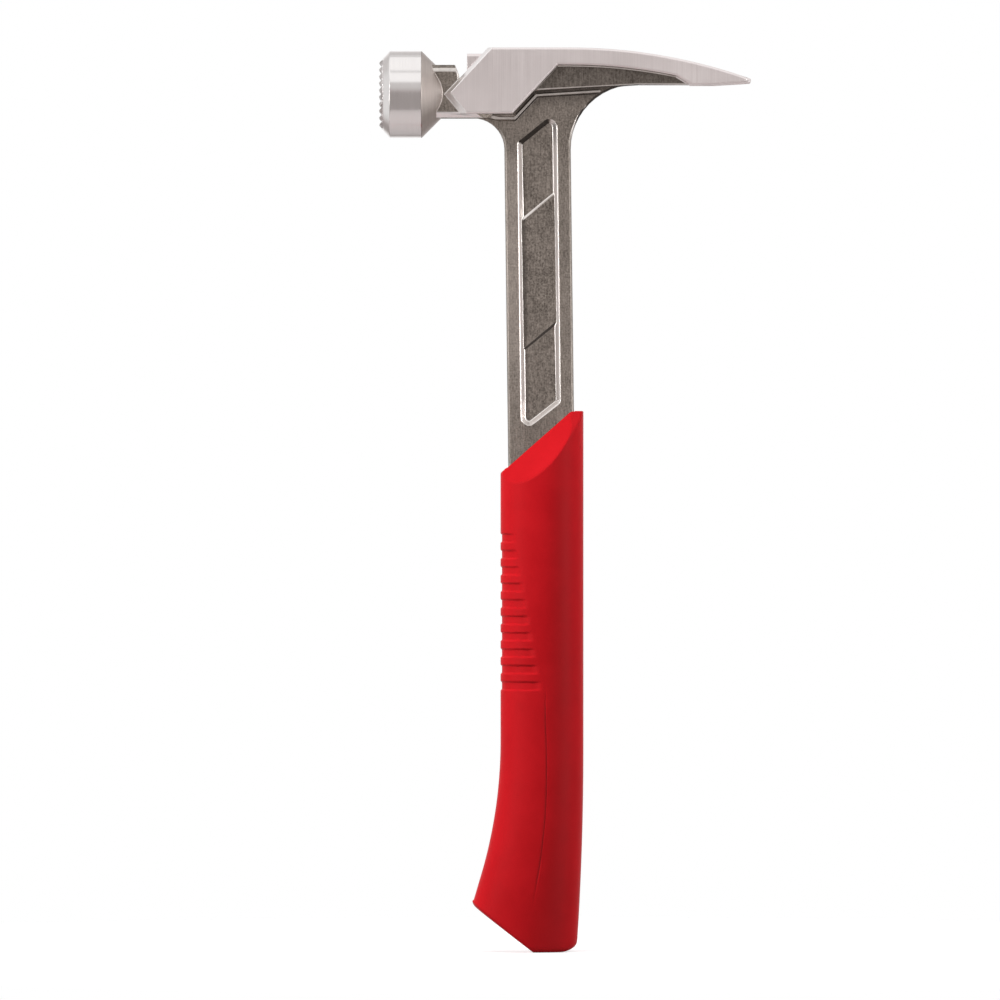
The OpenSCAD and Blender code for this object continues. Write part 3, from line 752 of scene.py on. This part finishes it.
def neck_edge(e):
    """Upper edges of the neck's sides, from the poll's cone to the gap for the nail's head."""
    at, length, angle = edge_facts(e)
    on_side = NECK_X[0] < at.x < NECK_X[1] and NECK_Y[0] < abs(at.y) < NECK_Y[1]
    at_top = on_side and at.z > NECK_TOP
    return at_top and angle > SHARP and e.is_convex and length > NECK_EDGE_L


def outer_edge(e):
    """Edges of the head, neck and shank that stand clear of tight junctions."""
    at, length, angle = edge_facts(e)
    if angle < SHARP or length < SHORT or at.z < SHANK_LOW or at.x < HEAD_FRONT:
        return False
    return not any(inside(at, box) for box in JUNCTIONS)


def on_shank(e):
    """Whether an edge is on the shank or on the bead round its head."""
    at = edge_facts(e)[0]
    return at.z < HEAD_LOW or inside(at, BEAD)


def head_edge(e):
    """Outer edges of the head and neck."""
    return outer_edge(e) and not on_shank(e)


def shank_edge(e):
    """Outer edges of the shank and its bead."""
    return outer_edge(e) and on_shank(e)


def cone_foot(e):
    """The hollow edge where the poll's cone runs into the neck."""
    at, _, angle = edge_facts(e)
    tilts = sorted(f.normal.x for f in e.link_faces)
    at_foot = CONE_FOOT_X[0] < at.x < CONE_FOOT_X[1] and abs(at.y) > CONE_FOOT_Y
    return at_foot and angle > HOLLOW and not e.is_convex and tilts[0] < CONE_NX < tilts[1]


def rounded_forging():
    """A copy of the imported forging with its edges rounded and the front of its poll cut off."""
    bm = bmesh.new()
    bm.from_mesh(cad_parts["forging"].data)
    bmesh.ops.remove_doubles(bm, verts=bm.verts, dist=DOUBLE)
    bmesh.ops.dissolve_limit(bm, angle_limit=FLAT, verts=bm.verts, edges=bm.edges)
    bmesh.ops.bisect_plane(
        bm,
        geom=bm.verts[:] + bm.edges[:] + bm.faces[:],
        plane_co=(POLL_CUT * MM, 0, 0),
        plane_no=(-1, 0, 0),
        clear_outer=True,
        dist=EMPTY,
    )
    bmesh.ops.contextual_create(bm, geom=[e for e in bm.edges if e.is_boundary])
    ease_panels(bm)

    # Each rule has the width of its rounding in millimetres and the finish that this gets
    finishes = [forged, rubbed]
    for rule, width, finish in (
        (wall_edge, 0.5, forged),
        (panel_edge, 0.2, forged),
        (root_edge, 0.7, forged),
        (web_edge, 0.5, rubbed),
        (neck_edge, 0.9, rubbed),
        (head_edge, 0.28, rubbed),
        (shank_edge, 0.28, forged),
    ):
        round_edges(bm, rule, width, finish, finishes)
    made = bpy.data.meshes.new("rounded_forging")
    bm.to_mesh(made)
    bm.free()
    for finish in finishes:
        made.materials.append(finish)
    return show("rounded_forging", made)


def poll_blank():
    """The poll before milling: a raised disc, a bevelled rim, a cylinder and a tapered back."""
    r, back = POLL_R + POLL_SKIN, POLL_L + CONE_SKIN
    cone_end = back + r - CONE_R
    corners = rounded_path(
        [
            (0, 0),
            (0, MILLED_R),
            (MILLED_H - MILLED_FOOT[0], MILLED_R + MILLED_FOOT[1]),
            (MILLED_H, r - RIM_H),
            (MILLED_H + RIM_L, r),
            (back, r),
            (cone_end, CONE_R),
            (cone_end, 0),
        ],
        POLL_ROUNDS,
    )

    # Long runs get a narrow row at each end, so that shading stays flat between them
    profile = []
    for start, end in zip(corners, corners[1:]):
        run = np.array(end) - np.array(start)
        shares = RUN_SHARES if np.linalg.norm(run) > LONG_RUN else RUN_SHARES[:1]
        profile += [np.array(start) + run * share for share in shares]
    profile.append(corners[-1])
    return show("milled_forging", lathe("poll_blank", profile, FACE_X, POLL_Z, POLL_SEGMENTS))


def tooth_cutters(plan, given):
    """Two crossing sets of cutters for the teeth, one a little deeper so that no valleys pinch."""
    pitch = plan.wire(given, "Tooth Pitch")
    rows = plan.wire(given, "Tooth Rows")
    half_w = (pitch - plan.wire(given, "Tooth Flat")) * 0.5

    # One cutter is a bar of four sides whose lower corner is the groove's foot
    bar = plan.node(
        "GeometryNodeMeshCylinder",
        {"Vertices": 4, "Radius": 1.0, "Depth": CUTTER_L * MM},
    )
    shape = plan.node(
        "ShaderNodeCombineXYZ",
        {0: plan.wire(given, "Tooth Depth"), 1: half_w, 2: 1.0},
    )
    cutter = plan.node(
        "GeometryNodeTransform",
        {"Geometry": bar.outputs[0], "Scale": shape.outputs[0]},
    )

    # Cutters stand side by side across the face, and a second set crosses them
    step = plan.node("ShaderNodeCombineXYZ", {1: pitch})
    first = plan.node("ShaderNodeCombineXYZ", {1: (rows - 1.0) * pitch * -0.5})
    line = plan.node(
        "GeometryNodeMeshLine",
        {"Count": rows, "Start Location": first.outputs[0], "Offset": step.outputs[0]},
    )
    row = plan.node(
        "GeometryNodeInstanceOnPoints",
        {"Points": line.outputs[0], "Instance": cutter.outputs[0]},
    )
    solid_row = plan.node("GeometryNodeRealizeInstances", {0: row.outputs[0]})
    sets = []
    for sink, turn in ((0.0, 0.0), (CROSS_SINK, math.radians(90))):
        sets.append(
            plan.node(
                "GeometryNodeTransform",
                {
                    "Geometry": solid_row.outputs[0],
                    "Translation": ((FACE_X + sink) * MM, 0.0, POLL_Z * MM),
                    "Rotation": (turn, 0.0, 0.0),
                },
            )
        )
    return sets


def nail_groove_cutter(plan, given):
    """A rounded bar along the top of the poll."""
    outline = plan.node(
        "GeometryNodeCurvePrimitiveQuadrilateral",
        {
            "Width": plan.wire(given, "Groove Width"),
            "Height": plan.wire(given, "Groove Depth") * 2.0,
        },
    )
    soft = plan.node(
        "GeometryNodeFilletCurve",
        {"Curve": outline.outputs[0], "Radius": plan.wire(given, "Groove Bevel"), "Count": 4},
        mode="POLY",
    )
    start, end = [(x * MM, 0.0, 0.0) for x in NAIL_GROOVE_X]
    path = plan.node("GeometryNodeCurvePrimitiveLine", {"Start": start, "End": end})
    swept = plan.node(
        "GeometryNodeCurveToMesh",
        {"Curve": path.outputs[0], "Profile Curve": soft.outputs[0], "Fill Caps": True},
    )
    return plan.node(
        "GeometryNodeTransform",
        {"Geometry": swept.outputs[0], "Translation": (0.0, 0.0, (POLL_Z + POLL_R) * MM)},
    )


def finish_zones(plan):
    """Pairs of a finish and where it goes, by position and slope; a later pair covers an earlier."""
    x, y, z = plan.millimetres(plan.node("GeometryNodeInputPosition").outputs[0])
    nx, ny, nz = plan.axes(plan.node("GeometryNodeInputNormal").outputs[0])
    y, ny = y.abs(), ny.abs()
    poll = x < CYLINDER_END
    cone = x.between(CYLINDER_END, CONE_END) * (nx > CONE_NX)
    teeth = x < FACE_X + TOOTH_DEPTH
    wall = (nz < WALL_NZ) * (ny < WALL_NY) * (x < CLAW_WALL_END)
    cheek = (y > CHEEK_Y) * (z > CHEEK_LOW) * (x > CHEEK_FRONT) * (wall < 0.5)
    top = (nz > TOP_NZ) * (z > TOP_LOW) * (x > BLOCK_X[0])
    slot = (x > CLAW_SLOT_X) * (y < CLAW_SLOT_Y) * (ny > SLOT_NY)
    claw = (x > CLAW_TIP).either(slot)
    block = (z > BLOCK_LOW) * x.between(*BLOCK_X)
    bevel = cheek * ny.between(*BEVEL_NY) * (nz > BEVEL_NZ) * (x < BEVEL_END)
    under_neck = (z < NECK_FOOT_TOP) * (y > NECK_FOOT_Y)
    neck_foot = (nz < NECK_FOOT_NZ) * x.between(*NECK_FOOT_X) * under_neck
    # Only the bead's faces that don't look down are rubbed bright; its lower slope stays dark forged
    # steel as painted shade
    bead = y.between(*BEAD_Y) * (nz > BEAD_NZ) * (z > HEAD_LOW) * x.between(*BEAD_X)
    return (
        (ground, cheek.either(top).either(claw).either(block)),
        (bevelled, bevel.either(neck_foot)),
        (rubbed, bead),
        (spun, cone),
        (turned, poll),
        (milled, teeth),
    )


def milled_forging():
    """The forging: the poll is joined to the body, then its face is milled and its nail groove cut."""
    body = rounded_forging()
    blank = poll_blank()
    sizes = {
        "Body": (PIECE, body),
        "Tooth Pitch": (LENGTH, TOOTH_PITCH * MM),
        "Tooth Depth": (LENGTH, TOOTH_DEPTH * MM),
        "Tooth Flat": (LENGTH, TOOTH_FLAT * MM),
        "Tooth Rows": (COUNT, TOOTH_ROWS),
        "Groove Width": (LENGTH, NAIL_GROOVE_W * MM),
        "Groove Depth": (LENGTH, NAIL_GROOVE_D * MM),
        "Groove Bevel": (LENGTH, NAIL_GROOVE_BEVEL * MM),
    }
    plan, given, result, keys = node_group("milled_forging", sizes)
    piece = plan.node("GeometryNodeObjectInfo", {"Object": plan.wire(given, "Body")})
    joined = plan.node("GeometryNodeMeshBoolean", operation="UNION", solver="MANIFOLD")
    for part in (given.outputs["Geometry"], piece.outputs["Geometry"]):
        plan.tree.links.new(part, joined.inputs["Mesh 2"])
    cut = plan.node("GeometryNodeMeshBoolean", operation="DIFFERENCE", solver="MANIFOLD")
    plan.feed(cut.inputs["Mesh 1"], joined.outputs[0])
    for part in (*tooth_cutters(plan, given), nail_groove_cutter(plan, given)):
        plan.tree.links.new(part.outputs[0], cut.inputs["Mesh 2"])

    # Places outside every zone keep the finishes of the body
    last = plan.node("GeometryNodeRealizeInstances", {0: cut.outputs[0]})
    for finish, zone in finish_zones(plan):
        last = plan.node(
            "GeometryNodeSetMaterial",
            {"Geometry": last.outputs[0], "Selection": zone, "Material": finish},
        )
    plan.feed(result.inputs[0], last.outputs[0])

    apply_group(blank, plan, keys, sizes)
    settle(blank, "milled_forging")
    bpy.data.objects.remove(body)
    with editing(blank.data) as bm:
        round_edges(bm, cone_foot, CONE_FOOT_ROUND, spun, list(blank.data.materials))
    finish_normals(blank, CREASE)
    return blank


# Grip


def flare(drop):
    """How far the front stands out at a drop below the start of the flare."""
    knee = FLARE_R * math.sin(FLARE_ANGLE)
    arc = FLARE_R - np.sqrt(FLARE_R**2 - np.clip(drop, 0, knee) ** 2)
    return arc + np.maximum(drop - knee, 0) * math.tan(FLARE_ANGLE)


def front_x(z):
    return -GRIP_W / 2 - flare(FLARE_Z - z)


def back_x(z):
    return GRIP_W / 2 - np.maximum(TAIL_Z - z, 0) ** 2 / 2 / TAIL_R


def half_thickness(z):
    swell = np.sin(np.pi / 2 * np.clip((FLARE_Z - z) / FLARE_Z, 0, 1))
    return (GRIP_T + (BUTT_T - GRIP_T) * swell) / 2


def crest(z):
    """The place of the thickest line across the grip, where the mould's seam runs."""
    return CREST + CREST_SHIFT * np.sin(np.pi * np.clip((CREST_BEND - z) / CREST_BEND, 0, 1))


def column_angles():
    """Angles of the columns round the grip, with close ones beside the mould's seams."""
    beside = [90 + s for s in (-SEAM_BESIDE, SEAM_BESIDE)]
    half = sorted(set(np.arange(0, 180, COLUMN_STEP)) | set(beside))
    return np.radians(half + [a + 180 for a in half])


ANGLES = column_angles()
SEAM_COLUMNS = np.isclose(np.abs(np.sin(ANGLES)), 1.0)


def section(z, wall=0.0):
    """Points of every column at its height, drawn in from the outside by a wall."""
    z = np.broadcast_to(np.asarray(z, float), ANGLES.shape)
    along, sideways = np.cos(ANGLES), np.sin(ANGLES)
    front, back = front_x(z) + wall, back_x(z) - wall
    mid = front + (back - front) * crest(z)
    x = mid + np.where(along > 0, back - mid, mid - front) * along
    swell = np.sign(np.round(sideways, 6)) * np.maximum(1 - along * along, 0) ** ROUNDNESS
    return np.stack([x, (half_thickness(z) - wall) * swell, z], axis=1)


def butt_height(x):
    """Height of the slanted butt, with the rounding of its back."""
    tail = np.maximum(x - GRIP_W / 2 + TAIL_IN, 0)
    return np.maximum(-BUTT_FRONT - x, 0) * BUTT_TAN + tail**2 / 2 / TAIL_ROUND


def mouth_height(x, y):
    """Height of the slanted mouth, which falls away to both sides."""
    slope = np.minimum(MOUTH_Z + x * MOUTH_TAN, MOUTH_TOP)
    return slope - MOUTH_FALL * np.maximum(np.abs(y) - HALF_MOUTH, 0)


def low_ends():
    """Height at which each column meets the slanted butt, found in a few rounds."""
    z = np.zeros(ANGLES.shape)
    for _ in range(8):
        z = butt_height(section(z)[:, 0])
    return z


def mouth_ring(wall, depth):
    """A ring on the mouth, drawn in by a wall and sunk by a depth."""
    ring = section(MOUTH_Z, wall)
    ring[:, 2] = mouth_height(ring[:, 0], ring[:, 1]) - depth
    return ring


def opening_ring(depth, wider=0.0):
    """A ring round the hole for the shank, sunk by a depth."""
    ring = section(MOUTH_Z)
    ring[:, 0] = np.clip(ring[:, 0], OPENING[0] - wider, OPENING[1] + wider)
    ring[:, 1] = np.clip(ring[:, 1], -HALF_MOUTH - wider, HALF_MOUTH + wider)
    ring[:, 2] = mouth_height(ring[:, 0], ring[:, 1]) - depth
    return ring


def ring_heights():
    """Heights of the level rings, close together where the finger grooves are."""
    low, high = RIB_SPAN
    return np.concatenate(
        [
            np.arange(RING_LOW + RING_STEP, low, RING_STEP),
            np.arange(low, high, RIB_STEP),
            np.arange(high + RING_STEP, RING_HIGH, RING_STEP),
        ]
    )


def grip_rings():
    """Rings of the skin from the butt up the outside, over the mouth and down the inside."""
    low = low_ends()
    rings = []
    for turn in np.linspace(0, np.pi / 2, BUTT_RINGS):
        ring = section(low, BUTT_ROUND * (1 - math.sin(turn)))
        ring[:, 2] = butt_height(ring[:, 0]) + BUTT_ROUND * (1 - math.cos(turn))
        rings.append(ring)
    start = rings[-1][:, 2]
    for share in np.linspace(0, 1, FLARE_RINGS)[1:]:
        rings.append(section(start + (RING_LOW - start) * share))
    rings += [section(z) for z in ring_heights()]
    top = mouth_ring(0, 0)[:, 2] - MOUTH_ROUND
    for share in np.linspace(0, 1, TOP_RINGS):
        ring = section(RING_HIGH)
        ring[:, 2] = RING_HIGH + (top - RING_HIGH) * share
        rings.append(ring)
    outer = len(rings)
    rings.append(mouth_ring(MOUTH_ROUND * 0.25, MOUTH_ROUND * 0.2))
    edge = mouth_ring(MOUTH_ROUND, 0)
    inner = opening_ring(0, OPENING_BEVEL)
    rings += [edge + (inner - edge) * share for share in np.linspace(0, 1, MOUTH_RINGS)]
    rings += [opening_ring(OPENING_BEVEL), opening_ring(LIP), mouth_ring(SKIN_WALL, LIP)]
    for z in np.linspace(RING_HIGH - LIP, BUTT_WALL, HOLLOW_RINGS):
        rings.append(section(z, SKIN_WALL))
    return rings, outer


def seam_mark(ring):
    """How strongly the mould's seam shows on each point of a ring."""
    z = ring[:, 2]
    below = np.clip((SEAM_TOP[1] - z) / (SEAM_TOP[1] - SEAM_TOP[0]), 0, 1)
    above = np.clip((z - SEAM_LOW[0]) / (SEAM_LOW[1] - SEAM_LOW[0]), 0, 1)
    return SEAM_COLUMNS * below * above


def grip_blank():
    """The grip's skin before its finger grooves, with marks for its outside and its seam."""
    rings, outer = grip_rings()
    count = len(ANGLES)
    seam_rows = []
    for ring in rings[:outer]:
        mark = seam_mark(ring)
        ring[:, 1] -= np.sign(ring[:, 1]) * SEAM_DEPTH * mark
        seam_rows.append(mark)
    points = np.concatenate(rings)
    faces = ring_faces(len(rings), count)

    # The butt and the end of the hollow are closed by strips from side to side
    last = (len(rings) - 1) * count
    for i in range(count // 2):
        corners = list(dict.fromkeys((i, i + 1, count - i - 1, (count - i) % count)))
        faces.append(tuple(corners))
        faces.append(tuple(last + v for v in reversed(corners)))
    made = bpy.data.meshes.new("grip_blank")
    made.from_pydata([tuple(p) for p in points * MM], [], faces)
    seam = np.zeros(len(points), np.float32)
    seam[: outer * count] = np.concatenate(seam_rows)
    skin = np.zeros(len(points), np.float32)
    skin[: outer * count] = 1.0
    for label, values in (("seam", seam), ("outside", skin)):
        made.attributes.new(label, "FLOAT", "POINT").data.foreach_set("value", values)
    clean(made)
    return show("grip_skin_ribbed", made)


def ribbed_grip():
    """The soft skin with its finger grooves sunk into the front."""
    blank = grip_blank()
    sizes = {
        "Groove Count": (COUNT, 10),
        "Groove Top": (LENGTH, 174.4 * MM),
        "Groove Pitch": (LENGTH, 6.92 * MM),
        "Groove Width": (LENGTH, 4.1 * MM),
        "Groove Depth": (LENGTH, 0.6 * MM),
        "Groove Edge": (LENGTH, 0.7 * MM),
        "Reach Top": (LENGTH, 11.0 * MM),
        "Reach Low": (LENGTH, 0.0),
        "Fade": (LENGTH, 3.0 * MM),
    }
    plan, given, result, keys = node_group("finger_grooves", sizes)
    value = {label: plan.wire(given, label) for label in sizes}
    x, _, z = plan.axes(plan.node("GeometryNodeInputPosition").outputs[0])
    index = (value["Groove Top"] - z) / value["Groove Pitch"]
    off = (index - index.round()).abs() * value["Groove Pitch"]
    last = value["Groove Count"] - 1.0
    along = (index / last).ramp(0.0, 1.0, smooth=False)
    reach = (value["Reach Top"] + (value["Reach Low"] - value["Reach Top"]) * along) * -1.0
    fade = ((reach - x) / value["Fade"]).ramp(0.0, 1.0)
    groove = ((value["Groove Width"] * 0.5 - off) / value["Groove Edge"]).ramp(0.0, 1.0)
    in_rows = index.between(-0.5, last + 0.5)
    mark = plan.node("GeometryNodeInputNamedAttribute", {"Name": "outside"}, data_type="FLOAT")
    depth = value["Groove Depth"] * fade * groove * in_rows * plan.wire(mark) * -1.0
    way = plan.node("GeometryNodeInputNormal")
    shift = plan.node(
        "ShaderNodeVectorMath",
        {0: way.outputs[0], "Scale": depth},
        operation="SCALE",
    )
    sunk = plan.node(
        "GeometryNodeSetPosition",
        {"Geometry": given.outputs["Geometry"], "Offset": shift.outputs[0]},
    )
    whole = plan.node("GeometryNodeRealizeInstances", {0: sunk.outputs[0]})
    layer = plan.node(
        "GeometryNodeSetMaterial",
        {"Geometry": whole.outputs[0], "Material": rubber},
    )
    plan.feed(result.inputs[0], layer.outputs[0])
    apply_group(blank, plan, keys, sizes)
    settle(blank, "grip_skin_ribbed")
    shade_smooth(blank, CREASE)
    return blank


# Magnet


def magnet_disc():
    """The magnet: a plated disc with a broken edge."""
    profile = rounded_path(
        [(0, 0), (0, MAGNET_R), (MAGNET_L, MAGNET_R), (MAGNET_L, 0)],
        [MAGNET_ROUND, MAGNET_ROUND],
    )
    mesh = lathe("magnet_disc", profile, MAGNET_X, MAGNET_Z, MAGNET_SEGMENTS)
    mesh.materials.append(plating)
    made = show("magnet_disc", mesh)
    shade_smooth(made, MAGNET_CREASE)
    return made


for piece, node, slot in (
    (milled_forging(), "forging", "steel"),
    (ribbed_grip(), "grip_skin", "grip"),
    (magnet_disc(), "nail_magnet", "magnet"),
):
    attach(piece, "root")
    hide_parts(node)

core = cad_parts["grip_core"]
core.data.materials.clear()
core.data.materials.append(plastic)


# Stage


def camera():
    """A long lens that looks at the object from the front."""
    data = bpy.data.cameras.new("camera")
    data.lens = LENS
    data.sensor_width = SENSOR
    data.clip_end = 100
    made = show("camera", data)
    made.location = CENTRE - Vector((0, PIXEL * IMAGE_W * LENS / SENSOR, 0))
    made.rotation_euler = (math.radians(90), 0, 0)
    bpy.context.scene.camera = made


def lamp(name, place, target, size, watts, glossy=True, diffuse=True):
    """A soft lamp, which lights polished and matt surfaces or only one of the two."""
    data = bpy.data.lights.new(name, "AREA")
    data.shape = "RECTANGLE"
    data.size, data.size_y = size
    data.energy = watts
    made = show(name, data)
    made.location = place
    made.rotation_euler = (Vector(target) - Vector(place)).to_track_quat("-Z", "Y").to_euler()
    made.visible_glossy = glossy
    made.visible_diffuse = diffuse


def seen_white(plan, ray, mirrored):
    """How white a backdrop is to a ray: wholly to the camera and through glass, partly in mirrors."""
    direct = plan.wire(ray, "Is Camera Ray").either(plan.wire(ray, "Is Transmission Ray"))
    return direct.either(mirrored)


def white_floor():
    """A pale round floor that is white to the camera and keeps the object's shadow."""
    bm = bmesh.new()
    bmesh.ops.create_circle(bm, cap_ends=True, segments=96, radius=FLOOR_R)
    mesh = bpy.data.meshes.new("floor")
    bm.to_mesh(mesh)
    bm.free()
    made = show("floor", mesh)
    paint = bpy.data.materials.new("floor_paint")
    paint.use_nodes = True
    plan = Plan(paint.node_tree)
    shader = paint.node_tree.nodes["Principled BSDF"]
    shader.inputs["Base Color"].default_value = (0.32, 0.27, 0.265, 1)
    shader.inputs["Roughness"].default_value = 0.9
    glow = plan.node("ShaderNodeEmission", {"Color": (1, 1, 1, 1), "Strength": 0.62})
    faint = plan.node("ShaderNodeBsdfDiffuse", {"Color": (0.55, 0.55, 0.55, 1)})
    lit = plan.node("ShaderNodeAddShader", {0: glow.outputs[0], 1: faint.outputs[0]})
    ray = plan.node("ShaderNodeLightPath")
    white = seen_white(plan, ray, plan.wire(ray, "Is Glossy Ray") * FLOOR_MIRRORED)
    pick = plan.node("ShaderNodeMixShader", {0: white, 1: shader.outputs[0], 2: lit.outputs[0]})
    plan.feed(paint.node_tree.nodes["Material Output"].inputs[0], pick.outputs[0])
    mesh.materials.append(paint)
    made.location = (0, 0, FLOOR_Z)


def studio_world():
    """White to the camera and behind the object, with a bright ceiling and sides and a dim front."""
    world = bpy.data.worlds.new("studio")
    bpy.context.scene.world = world
    world.use_nodes = True
    plan = Plan(world.node_tree)
    sky = world.node_tree.nodes["Background"]
    x, y, z = plan.axes(plan.node("ShaderNodeTexCoord").outputs["Generated"])
    ray = plan.node("ShaderNodeLightPath")
    glossy = plan.wire(ray, "Is Glossy Ray")
    low = z.ramp(0.0, 0.30, 0.38, 0.66)
    line = (z - 0.875).abs().ramp(0.0, 0.04, 0.6, 1.0)
    panels = z.ramp(0.44, 0.54, 0.0, 1.1) * line * y.ramp(0.45, 0.80, 1.0, 0.0)
    left = (x * -1.0).ramp(0.4, 0.95, 0.0, 0.85)
    right = x.ramp(0.5, 0.95, 0.0, 0.85)
    back = y.ramp(0.80, 0.98)
    level = low.either(panels).either(left).either(right)
    room = level * (glossy * (1.0 - MATT_SHARE) + MATT_SHARE)
    white = seen_white(plan, ray, glossy * back)
    plan.feed(sky.inputs["Strength"], room + (room * -1.0 + 1.0) * white)
    paleness = level.ramp(0.45, 0.80).either(white)
    plan.feed(sky.inputs["Color"], blend(plan, paleness, (1.0, 0.925, 0.905), (1.0, 1.0, 1.0)))


camera()
white_floor()
studio_world()
lamp(
    "key_left",
    place=(-0.77, -0.21, 0.45),
    target=(0, 0, 0.2),
    size=(0.41, 0.4),
    watts=6.9,
    glossy=False,
)
lamp(
    "fill_top",
    place=(0.0, -0.3, 0.52),
    target=(0, 0, 0.2),
    size=(0.5, 0.1),
    watts=1.6,
    glossy=False,
)
lamp(
    "rim_right",
    place=(0.75, 0.2, 0.42),
    target=(0, 0, 0.2),
    size=(0.18, 0.35),
    watts=4.2,
    glossy=False,
)
lamp(
    "strip_left",
    place=(-1.36, -1.14, 0.4),
    target=(0, 0, 0.25),
    size=(0.10, 1.4),
    watts=6.0,
    diffuse=False,
)
lamp(
    "strip_right",
    place=(1.36, -1.14, 0.4),
    target=(0, 0, 0.25),
    size=(0.10, 1.4),
    watts=10.0,
    diffuse=False,
)

bpy.context.scene.view_settings.view_transform = "Standard"
